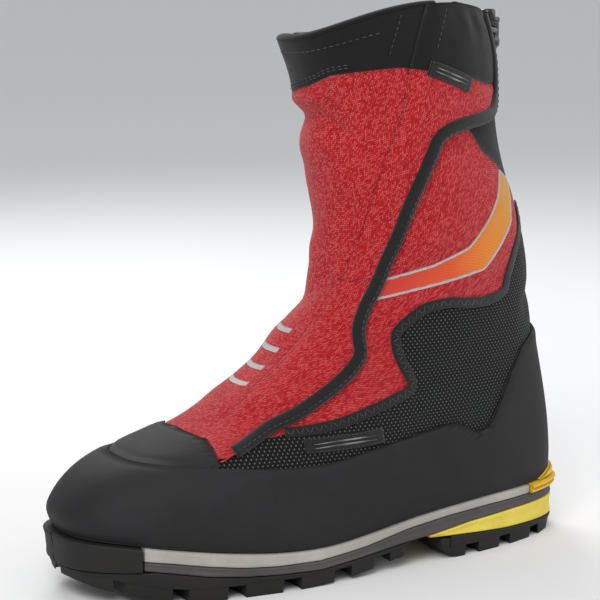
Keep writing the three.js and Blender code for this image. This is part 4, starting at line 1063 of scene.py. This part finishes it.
def bm_object(name, bm, material, body, nodes, bevel=0.0, segments=2, angle=35, soft=42):
    """An object from a bmesh, with edges over angle degrees bevelled and those over soft left sharp."""
    bmesh.ops.recalc_face_normals(bm, faces=bm.faces)
    if bevel:
        sharp = [e for e in bm.edges if len(e.link_faces) == 2 and e.calc_face_angle(0) > math.radians(angle)]
        bmesh.ops.bevel(bm, geom=sharp, offset=bevel * MM, segments=segments, profile=0.6, affect="EDGES",
                        clamp_overlap=True)
    for f in bm.faces:
        f.smooth = True
    soften(bm, soft)
    me = bpy.data.meshes.new(name)
    bm.to_mesh(me)
    bm.free()
    me.materials.append(material)
    obj = bpy.data.objects.new(name, me)
    sc.collection.objects.link(obj)
    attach(obj, body)
    if nodes:
        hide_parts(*nodes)
    return obj


def tidy_solid(obj, angle=38):
    bm = bmesh.new()
    bm.from_mesh(obj.data)
    bmesh.ops.remove_doubles(bm, verts=bm.verts, dist=0.00002)
    bmesh.ops.recalc_face_normals(bm, faces=bm.faces)
    soften(bm, angle)
    bm.to_mesh(obj.data)
    bm.free()
    return obj


LEDGE_PROFILE = [(0.9, 0.0, 0.0), (0.25, 0.0, 0.25), (0.0, 0.0, 0.9), (0.0, 0.22, 0), (0.35, 0.28, 0),
                 (1.6, 0.34, 0), (1.7, 0.5, 0), (1.5, 0.58, 0), (0.1, 0.64, 0), (0.0, 0.8, 0),
                 (0.25, 1.0, -0.3), (0.9, 1.0, 0.0)]
plate("welt_layer", WELT, WELT_OUT, (TOE_SPLIT, HEEL_SPLIT), welt_top, welt_bottom, r=1.1)
plate("cushion_layer", CUSHION, WELT_OUT, (TOE_SPLIT, 180), lambda y: welt_bottom(y) - GAP,
      cushion_bottom, r=1.1, waist=0.35)
plate("toe_ledge", TREAD, LEDGE_OUT, (0, TOE_SPLIT - 0.6), welt_top, lambda y: tread_top(y) + GAP,
      LEDGE_OUT - 1.5, r=1.4, waist=0.5)
plate("heel_ledge", YPLAST, LEDGE_OUT, (HEEL_SPLIT + 0.6, 180), welt_top, welt_bottom,
      LEDGE_OUT - 1, profile=LEDGE_PROFILE)
plate("heel_wedge", YFOAM, WELT_OUT, (WEDGE_START, 180), lambda y: cushion_bottom(y) - GAP,
      lambda y: tread_top(y) + GAP, r=1.0, waist=0.5)
plate("outsole_forefoot", TREAD, WELT_OUT, (0, ARCH_SPLIT), tread_top, tread_bottom, WELT_OUT - 0.4, r=0.8)
plate("outsole_heel", TREAD, WELT_OUT, (HEEL_TREAD, 180), tread_top, heel_tread_bottom, WELT_OUT - 0.4, r=0.8)
plate("footbed", LINER, -10.8, (0, 180), lambda y: sole_top(y) + 7, lambda y: sole_top(y) + 3.7, r=1.3)
plate("lasting_board", BOARD, -9.8, (0, 180), lambda y: sole_top(y) + 1.8, lambda y: sole_top(y) - 0.2, r=0.4)


def across(d, w, out):
    l, m = edge(np.array(float(d)), out), edge(np.array(float(-d)), out)
    return m + (l - m) * (w + 1) / 2


def lug(bm, out, deg, u, skew=0.0, n=3, draft=0.9):
    """A tread block: drafted sides, rounded by bevel."""
    cells = []
    for i in range(n + 1):
        d = deg[0] + (deg[1] - deg[0]) * i / n
        for j in range(3):
            w = u[0] + (u[1] - u[0]) * j / 2
            p = across(d + skew * w, w, out)
            cells.append((p, i, j))
    pts = np.array([c[0] for c in cells])
    mid = pts.mean(0)
    lo, hi = [], []
    for p, i, j in cells:
        q = p + (mid - p) / max(np.linalg.norm(mid - p), 1e-6) * draft
        hi.append(bm.verts.new(np.array([p[0], p[1], float(tread_top(p[1])) - 1.2]) * MM))
        lo.append(bm.verts.new(np.array([q[0], q[1], float(ground(q[1]))]) * MM))
    k = lambda i, j: i * 3 + j
    faces = []
    for i in range(n):
        for j in range(2):
            a, b, c, d2 = k(i, j), k(i + 1, j), k(i + 1, j + 1), k(i, j + 1)
            faces.append(bm.faces.new([hi[a], hi[b], hi[c], hi[d2]]))
            faces.append(bm.faces.new([lo[d2], lo[c], lo[b], lo[a]]))
    ring = [k(i, 0) for i in range(n + 1)] + [k(n, 1)] + [k(i, 2) for i in range(n, -1, -1)] + [k(0, 1)]
    for a, b in zip(ring, ring[1:] + ring[:1]):
        faces.append(bm.faces.new([hi[a], lo[a], lo[b], hi[b]]))
    return faces


def lug_set(name, blocks):
    bm = bmesh.new()
    for b in blocks:
        lug(bm, *b)
    return bm_object(name, bm, TREAD, "boot", (), bevel=0.7, angle=40, soft=40)


front_blocks = []
for a, b, reach in [(2, 26, 0.42), (30, 44, 0.45), (48, 58, 0.42), (62, 71, 0.42), (75, 83, 0.44),
                    (87, 93, 0.46), (97, 101, 0.5)]:
    front_blocks.append((WELT_OUT - 0.5, (a, b), (1 - reach * 1.1, 1)))
    front_blocks.append((WELT_OUT - 0.5, (a, b), (-1, -1 + reach * 1.1)))
for a, b in [(34, 44), (51, 59), (65, 72), (78, 84)]:
    front_blocks.append((WELT_OUT, (a, b), (-0.38, 0.38), 4))
lug_set("forefoot_lugs", front_blocks)
heel_blocks = []
for a, b in [(111, 119), (123, 131), (135, 146), (151, 178)]:
    heel_blocks += [(WELT_OUT - 0.5, (a, b), (0.36, 1)), (WELT_OUT - 0.5, (a, b), (-1, -0.36))]
lug_set("heel_lugs", heel_blocks)

# ---------------------------------------------------------------- tapes over the seams
TAPE_RUN = TAPE[3:23]
for side, pts in (("lateral", TAPE_RUN), ("medial", mirror(TAPE_RUN))):
    frames = along(pts, 1.3)
    sweep("seam_tape_" + side, frames, rounded(6.0, 0.15, 0.95, 0.35, 0.25), BIND,
          nodes=("seam_tape_" + side,))
    wide = along(pts, 1.3, off=1.12)
    stitches("tape_stitch_" + side, [wide], THREAD, length=4.4, gap=-1.7, width=0.45, height=0.3, zig=58)

layer("front_seam_tape", BIND, (3.2, 9.5), (0, 80), GAP + 0.5, GAP,
      [lambda t, d: (d - line(SEAM, t)) * DEGREE_MM - 0.5,
       lambda t, d: (line(SEAM, t) - d) * DEGREE_MM + 5.5,
       lambda t, d: front_of_slot(t, d) + 1.5])


# ---------------------------------------------------------------- flaps
BEND = 9.0                                  # width of cloth beside the seam over which the flap thickens from its sewn edge


def at_seam(t, d):
    """0 on the sewn front edge, 1 from BEND behind it."""
    k = np.clip(segment_distance(SEAM, t, d)[0] / BEND, 0, 1)
    return k * k * (3 - 2 * k)


def flap_out(t, d):
    return 1.15 + 1.25 * at_seam(t, d)


def flap_in(t, d):
    return 0.35 + 0.65 * at_seam(t, d)


def flap_skin(t, d, edge):
    best, _ = segment_distance(SEAM, t, d)
    return rough_cloth(t, d, edge) - 0.45 * np.exp(-((best - 3.0) / 0.7) ** 2)


CUT = [lambda t, d: (d - line(SEAM, t)) * DEGREE_MM, lambda t, d: (line(EDGE, t) - d) * DEGREE_MM]
FOLD = 6.45


def flap(name, material, t, deg, keep, body):
    return layer(name, material, t, deg, flap_out, flap_in, CUT + keep, body=body, extra=flap_skin,
                 roll=0.6, roll_w=1.2, dt=0.07, dd=1.7, ends=False)


flap("lower_flap", RED, (2.3, FOLD), (0, 75),
     [above(CAP_TOP, 0.3), lambda t, d: np.where(d < 44, 9.0, above(RAND_TOP, 0.3)(t, d))], "boot")
storm = flap("storm_flap", RED, (FOLD, 10), (15, 160), [below(COLLAR)], None)
collar_flap = flap("collar_flap", BLACK, (9, HEM), (60, 160), [above(COLLAR)], None)


for piece in (storm, collar_flap):
    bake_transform(piece)

BIND_SECTION = [[-3.7, 0.75], [-3.95, 1.5], [-3.75, 2.9], [-3.0, 3.9], [-1.7, 4.4], [0, 4.55], [1.7, 4.4],
                [3.0, 3.9], [3.75, 3.0], [3.95, 1.9], [3.7, 0.9], [0.5, 0.75]]


SHIFT = 0.8                                 # the binding's middle, behind the cut edge


def binding(name, pts, body):
    """The rolled binding over the cut edge, with one row of stitches along its front half."""
    p, u, v, tan, at = along(pts, 1.3)
    sweep(name, (p, u, v, tan, at), [[a + SHIFT, b] for a, b in BIND_SECTION], BIND, body, (name,))
    stitches(name + "_stitch", [(p + v * 4.35, u, v, tan, at)], THREAD, body, length=2.6, gap=1.0, width=0.5,
             height=0.3, shift=SHIFT - 1.9)


flap_edge = [[FOLD, 49.0]] + [e for e in EDGE if FOLD + 0.05 < e[0] < 10] + [[10.93, 149.5]]
lower_edge = [e for e in EDGE if 2.6 < e[0] < FOLD - 0.05] + [[FOLD, 49.0]]
binding("lower_binding", lower_edge, "boot")
binding("flap_binding", flap_edge, "flap")

# ---------------------------------------------------------------- printed shapes and labels
def polygon_distance(poly):
    """Distance inside a polygon of [t, deg] corners, negative outside, in millimetres."""
    flat = np.array([[d * DEGREE_MM, t * STATION_MM] for t, d in poly])

    def f(t, d):
        x, y = np.asarray(d) * DEGREE_MM, np.asarray(t) * STATION_MM
        best, inside = np.full(np.shape(x), 1e9), np.zeros(np.shape(x), bool)
        for a, b in zip(flat, np.roll(flat, -1, 0)):
            best = np.minimum(best, edge_distance(x, y, a, b)[0])
            ex, ey = b - a
            at = a[0] + (y - a[1]) * ex / (ey if abs(ey) > 1e-9 else 1e-9)
            inside ^= ((a[1] > y) != (b[1] > y)) & (x < at)
        return np.where(inside, best, -best)
    return f


def printed(name, material, t, deg, keep, lift=0.22, dt=0.035, dd=0.9):
    return layer(name, material, t, deg, lift, -0.5, keep, nodes=(), roll=0.12, roll_w=0.4, dt=dt, dd=dd,
                 extra=rough_cloth)


BAND = [[7.95, 134], [7.35, 117], [6.75, 96], [6.55, 76], [6.37, 40], [6.04, 40], [6.18, 76], [6.32, 104],
        [7.02, 129], [7.72, 149]]
band = polygon_distance(BAND)
printed("accent_band", GRADIENT, (5.9, 8.1), (41, 152), [lambda t, d: band(t, d) - 0.5, rear_of_slot])
printed("accent_band_edge", WHITE, (5.9, 8.1), (41, 152),
        [band, lambda t, d: 1.2 - band(t, d), rear_of_slot], lift=0.3, dt=0.028, dd=0.7)
for k, (t0, d0, d1) in enumerate([(5.52, -19, 5), (5.16, -19, 7), (4.80, -18, 8), (4.44, -17, 9)]):
    bar = polygon_distance([[t0 - 0.045, d0], [t0 + 0.045, d0], [t0 + 0.045, d1], [t0 - 0.045, d1]])
    printed("ridge_bar_%d" % k, WHITE, (t0 - 0.12, t0 + 0.12), (d0 - 3, d1 + 3), [bar], dt=0.02, dd=0.6)

LABEL_SECTION = rounded(8.5, 0.0, 0.75, 0.3, 0.05)


def label(name, pts, lift, body):
    p, u, v, tan, at = along(pts, 1.0, off=lift)
    sweep(name, (p, u, v, tan, at), LABEL_SECTION, LABEL, body, (name,))
    for sgn in (-1, 1):
        stitches("%s_stitch_%d" % (name, sgn + 1), [(p + v * 0.8, u, v, tan, at)], THREAD, body, length=1.8,
                 gap=0.7, width=0.4, height=0.22, shift=sgn * 3.5)
        stitches("%s_bar_%d" % (name, sgn + 1), [(p + v * 0.78, u, v, tan, at)], CORD, body,
                 length=at[-1] * 0.8, gap=0.0, width=0.9, height=0.12, shift=sgn * 1.1)


label("cuff_label", [[9.66, 83], [9.5, 96], [9.34, 109]], 2.5, "flap")
label("side_label", [[2.8, 60], [2.83, 71.5], [2.86, 83]], 0.3, "boot")

# ---------------------------------------------------------------- seams with thread
for row, lift in enumerate((0.10, 0.16)):
    run = [[t + lift, d] for d, t in COLLAR if -100 < d < 40] + [[9.78 + lift, 40]]
    stitches("collar_stitch_front_%d" % row, [along(run, 1.5, off=0.05)], THREAD, length=2.4, gap=1.0)
    run = [[t + lift, d] for d, t in COLLAR if 88 < d < 262]
    stitches("collar_stitch_rear_%d" % row, [along(run, 1.5, off=0.05)], THREAD, length=2.4, gap=1.0)
for body, off, lift in (("boot", -13.0, 0.05), ("flap", 13.0, 2.4)):
    run = [[t, float(line(SEAM, t)) + off] for t in np.linspace(9.95, 10.85, 6)]
    stitches("collar_join_stitch_" + body, [along(run, 1.4, off=lift)], THREAD, body, length=2.2, gap=1.0,
             width=0.45)
hem_low = 10.5
stitches("hem_stitch_front", [along([[hem_low, d] for d in range(-98, 70, 8)], 1.5, off=0.05)], THREAD,
         length=2.6, gap=1.1)
stitches("hem_stitch_rear", [along([[hem_low, d] for d in range(114, 152, 6)], 1.5, off=0.05),
                             along([[hem_low, d] for d in range(198, 260, 8)], 1.5, off=0.05)], THREAD,
         length=2.6, gap=1.1)
stitches("flap_seam_stitch", [along([[t, d + 3.6] for t, d in SEAM[1:5]], 1.4, off=1.05)], THREAD_RED,
         length=2.4, gap=1.0, width=0.5)
for k, side_deg in enumerate((183.2, 176.8)):
    run = [[t, side_deg] for t in np.linspace(4.75, 7.4, 9)]
    stitches("back_seam_stitch_%d" % k, [along(run, 1.4, off=0.05)], THREAD,
             length=2.4, gap=1.0, width=0.45)

# ---------------------------------------------------------------- zip
Z0, Z1 = -ZIP_HALF, ZIP_HALF - 8
for side, lo, hi in (("front", -10.5, -2.6), ("rear", 2.6, 10.5)):
    w = (lo + hi) / 2
    sweep("zip_tape_" + side, zip_frames(Z0, Z1, 0, 60),
          rounded(hi - lo, ZIP_H - 0.42, ZIP_H + 0.42, 0.3, x0=w), ZTAPE, nodes=("zip_tape_" + side,))


def tooth(bm, s, side):
    """One zip tooth: a leg on the tape and a rounded head over the middle."""
    outline = [(3.1, -0.55), (3.1, 0.55), (1.1, 0.62), (0.2, 0.95), (-0.55, 0.8), (-0.85, 0.0), (-0.55, -0.8),
               (0.2, -0.95), (1.1, -0.62)]
    ends = []
    for h in (ZIP_H - 0.95, ZIP_H + 0.95):
        ends.append([bm.verts.new(zip_point(s + b, side * a, h) * MM) for a, b in outline])
    n = len(outline)
    bm.faces.new(ends[0])
    bm.faces.new(ends[1][::-1])
    for k in range(n):
        bm.faces.new([ends[0][k], ends[1][k], ends[1][(k + 1) % n], ends[0][(k + 1) % n]])


PITCH = 3.0
for side, sgn, shift in (("front", -1, 0.0), ("rear", 1, PITCH / 2)):
    bm = bmesh.new()
    for s in np.arange(Z0 + 5 + shift, Z1 - 1, PITCH):
        tooth(bm, s, sgn)
    bm_object("zip_teeth_" + side, bm, ZMETAL, "boot", ("zip_teeth_" + side,), bevel=0.16)


def from_node(name, node, material, body, bevel, segments=2, weld=0.02):
    """A finer copy of a hard CAD piece, with its edges rounded."""
    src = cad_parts[node]
    bm = bmesh.new()
    bm.from_mesh(src.data)
    bm.transform(src.matrix_world)
    bmesh.ops.remove_doubles(bm, verts=bm.verts, dist=weld * MM)
    bmesh.ops.dissolve_limit(bm, angle_limit=math.radians(1), verts=bm.verts, edges=bm.edges)
    return bm_object(name, bm, material, body, (node,), bevel, segments)


from_node("zip_slider_body", "zip_slider", ZMETAL, "slider", 0.22)
from_node("zip_pull_tab", "zip_pull", ZMETAL, "pull", 0.18)
from_node("zip_stop_clip", "zip_stop", ZMETAL, "boot", 0.2)

# ---------------------------------------------------------------- cord lock
BASE_Z = lock_c[2] - 11
TOP_Z = BASE_Z + 18.5
STEM_Z = BASE_Z + 8.6
PRESS = 3.5
HOLE_R = CORD_D / 2 + 0.6


def lathe(profile, seg=48):
    bm = bmesh.new()
    rings = []
    for r, z in profile:
        if r < 1e-6:
            rings.append([bm.verts.new((lock_c[0] * MM, lock_c[1] * MM, z * MM))])
        else:
            turn = np.linspace(0, 2 * math.pi, seg, endpoint=False)
            rings.append([bm.verts.new(((lock_c[0] + r * math.cos(a)) * MM,
                                        (lock_c[1] + r * math.sin(a)) * MM, z * MM)) for a in turn])
    for a, b in zip(rings, rings[1:]):
        for k in range(seg):
            l = (k + 1) % seg
            f = [a[k % len(a)], a[l % len(a)], b[l % len(b)], b[k % len(b)]]
            f = list(dict.fromkeys(f))
            if len(f) > 2:
                bm.faces.new(f)
    return bm


def bored(obj, low, high, r):
    """Takes a rounded through hole along the cord out of a piece."""
    bm = bmesh.new()
    n = 32
    ends = []
    for s in (-14, 14):
        ring = []
        for k in range(n):
            a = 2 * math.pi * k / n
            z = lock_c[2] + r * math.sin(a) + (high if math.sin(a) > 0 else low)
            c = lock_c + lock_u * s + np.array([lock_n[0], lock_n[1], 0]) * r * math.cos(a)
            ring.append(bm.verts.new((c[0] * MM, c[1] * MM, z * MM)))
        ends.append(ring)
    bm.faces.new(ends[0])
    bm.faces.new(ends[1][::-1])
    for k in range(n):
        bm.faces.new([ends[0][k], ends[1][k], ends[1][(k + 1) % n], ends[0][(k + 1) % n]])
    bmesh.ops.recalc_face_normals(bm, faces=bm.faces)
    me = bpy.data.meshes.new("bore")
    bm.to_mesh(me)
    bm.free()
    tool = bpy.data.objects.new("bore", me)
    sc.collection.objects.link(tool)
    mod = obj.modifiers.new("bore", "BOOLEAN")
    mod.operation, mod.object, mod.solver = "DIFFERENCE", tool, "EXACT"
    deps = bpy.context.evaluated_depsgraph_get()
    done = bpy.data.meshes.new_from_object(obj.evaluated_get(deps))
    obj.modifiers.clear()
    obj.data = done
    bpy.data.objects.remove(tool)
    return obj


def arc_profile(points, r=0.8, steps=4):
    """Rounds the inner corners of a profile of (radius, height) points."""
    pts = [np.array(p, float) for p in points]
    out = [pts[0]]
    for a, b, c in zip(pts, pts[1:], pts[2:]):
        k = min(r, np.linalg.norm(a - b) * 0.45, np.linalg.norm(c - b) * 0.45)
        p0, p2 = b + unit(a - b) * k, b + unit(c - b) * k
        for i in range(steps + 1):
            s = i / steps
            out.append(p0 * (1 - s) ** 2 + 2 * b * s * (1 - s) + p2 * s * s)
    return [tuple(p) for p in out + [pts[-1]]]


barrel_profile = arc_profile([(0, BASE_Z), (5.5, BASE_Z), (7.0, BASE_Z + 2), (7.0, BASE_Z + 5.5),
                              (6.6, BASE_Z + 6.4), (6.6, BASE_Z + 15.0), (7.0, BASE_Z + 15.8),
                              (7.0, TOP_Z - 1), (6.2, TOP_Z), (4.7, TOP_Z), (4.7, BASE_Z + 2),
                              (0, BASE_Z + 2)], 0.7)
barrel = bm_object("lock_barrel_body", lathe(barrel_profile), LOCK, "boot", ("lock_barrel",))
bored(barrel, 0, 0, HOLE_R)
plunger_top = TOP_Z + 4.5
plunger_profile = arc_profile([(0, STEM_Z), (4.4, STEM_Z), (4.4, TOP_Z + 0.5),
                               (4.4, plunger_top - 1.2), (3.4, plunger_top), (1.6, plunger_top - 0.35),
                               (0, plunger_top - 0.4)], 0.7)
plunger = bm_object("lock_plunger_stem", lathe(plunger_profile), LOCK, "plunger", ("lock_plunger",))
bored(plunger, 0, PRESS, HOLE_R)

SPRING_R, WIRE = 3.2, 0.45
low, high = BASE_Z + 2 + GAP + WIRE, STEM_Z - GAP - WIRE
turns = np.linspace(0, math.pi * 5, 121)
radial = np.stack([np.cos(turns), np.sin(turns), 0 * turns], -1)
spring_p = lock_c * [1, 1, 0] + radial * SPRING_R + np.stack([0 * turns, 0 * turns,
                                                              low + (high - low) * turns / turns[-1]], -1)
tan = unit(np.gradient(spring_p, axis=0))
coil = sweep("lock_spring_coil", (spring_p, radial, np.cross(tan, radial), tan, turns), circle(WIRE, 10),
             SPRING, nodes=("lock_spring",))
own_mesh(coil)

# ---------------------------------------------------------------- drawcord
CORD_IN = -3.5


def in_hem(d):
    return surf(LOCK_T, d) + normal(LOCK_T, d) * CORD_IN


def exit_point(d, off):
    n = unit(normal(LOCK_T, d) * [1, 1, 0])
    return surf(LOCK_T, d) + n * off


def lock_line(k):
    return lock_c + lock_u * k


slot_mid = slot_angle(LOCK_T, ZIP_A, ZIP_SIDE)
cord_start, cord_end = slot_mid - 15, slot_mid + 15
route, d = [], cord_start
while d > LOCK_DEG + 28 - 360:
    route.append(in_hem(d))
    d -= 18
route += [in_hem(EXITS[0] + 4), exit_point(EXITS[0], 0.5), lock_line(9), lock_line(0), lock_line(-9),
          exit_point(EXITS[1], 0.5), in_hem(EXITS[1] - 4)]
d = EXITS[1] - 12
while d > cord_end:
    route.append(in_hem(d))
    d -= 12
route.append(in_hem(cord_end))


def centripetal(points, per=14):
    """A Catmull-Rom curve through the points that makes no loops at sharp turns."""
    p = [np.asarray(q, float) for q in points]
    p = [2 * p[0] - p[1]] + p + [2 * p[-1] - p[-2]]
    out = []
    for four in zip(p, p[1:], p[2:], p[3:]):
        knot = [0.0]
        for a, b in zip(four, four[1:]):
            knot.append(knot[-1] + np.linalg.norm(b - a) ** 0.5)
        for t in np.linspace(knot[1], knot[2], per, endpoint=False):
            def mix(a, b, i, j):
                return a * (knot[j] - t) / (knot[j] - knot[i]) + b * (t - knot[i]) / (knot[j] - knot[i])
            a1, a2, a3 = (mix(four[k], four[k + 1], k, k + 1) for k in range(3))
            out.append(mix(mix(a1, a2, 0, 2), mix(a2, a3, 1, 3), 1, 2))
    return np.array(out + [p[-2]])


cord_p = centripetal(route)
cord_tan = unit(np.gradient(cord_p, axis=0))
up = np.array([0, 0, 1.0])
cord_v = unit(up - cord_tan * (cord_tan @ up)[:, None])
cord_u = np.cross(cord_tan, cord_v)
cord_at = np.concatenate([[0], np.cumsum(np.linalg.norm(np.diff(cord_p, axis=0), axis=1))])
cord = sweep("drawcord_tube", (cord_p, cord_u, cord_v, cord_tan, cord_at), circle(CORD_D / 2, 14), CORD,
             nodes=("drawcord",))

# rings round the two cord holes
EYELET_R = 3.0
for k, e in enumerate(EXITS):
    n = normal(LOCK_T, e)
    c = surf(LOCK_T, e) + n * (0.35 + float(sag(LOCK_T, e)))
    a1 = unit(np.cross(n, [0, 0, 1.0]))
    a2 = np.cross(n, a1)
    ang = np.linspace(0, 2 * math.pi, 40, endpoint=False)
    out_dir = np.cos(ang)[:, None] * a1 + np.sin(ang)[:, None] * a2
    sect = [[0.95 * math.cos(x), 0.6 * math.sin(x)] for x in np.linspace(0, 2 * math.pi, 12, endpoint=False)]
    tg = np.cross(out_dir, n)
    sweep("cord_eyelet_%d" % k, (c + out_dir * EYELET_R, out_dir, np.repeat(n[None], 40, 0), tg, ang), sect,
          ZMETAL, closed=True)

# ---------------------------------------------------------------- pieces kept from the frame
for node, mat in (("shank_plate", SHANK), ("toe_puff", SHANK), ("heel_counter", SHANK)):
    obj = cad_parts[node]
    obj.data.materials.clear()
    obj.data.materials.append(mat)

# ---------------------------------------------------------------- floor and light
floor_mesh = bpy.data.meshes.new("floor")
FLOOR = 30.0
floor_mesh.from_pydata([(-FLOOR, -FLOOR, 0), (FLOOR, -FLOOR, 0), (FLOOR, FLOOR, 0), (-FLOOR, FLOOR, 0)], [],
                       [(0, 1, 2, 3)])
floor = bpy.data.objects.new("floor", floor_mesh)
floor_mesh.materials.append(Mat("floor_paper").finish(lin(236, 236, 236), 0.95, spec=0.1))
sc.collection.objects.link(floor)

world = bpy.data.worlds.new("studio")
world.use_nodes = True
world.node_tree.nodes["Background"].inputs[0].default_value = (0.92, 0.93, 0.95, 1)
world.node_tree.nodes["Background"].inputs[1].default_value = 0.6
sc.world = world


def softbox(name, place, power, size):
    data = bpy.data.lights.new(name, "AREA")
    data.energy, data.size = power, size
    lamp = bpy.data.objects.new(name, data)
    sc.collection.objects.link(lamp)
    lamp.location = place
    aim = Vector((0, 0, 0.14)) - Vector(place)
    lamp.rotation_euler = aim.to_track_quat("-Z", "Y").to_euler()


softbox("key", (1.0, -0.9, 1.3), 17, 0.9)
softbox("fill", (0.6, 1.3, 0.8), 6, 1.2)
softbox("rim", (-1.1, 0.2, 1.1), 9, 0.8)
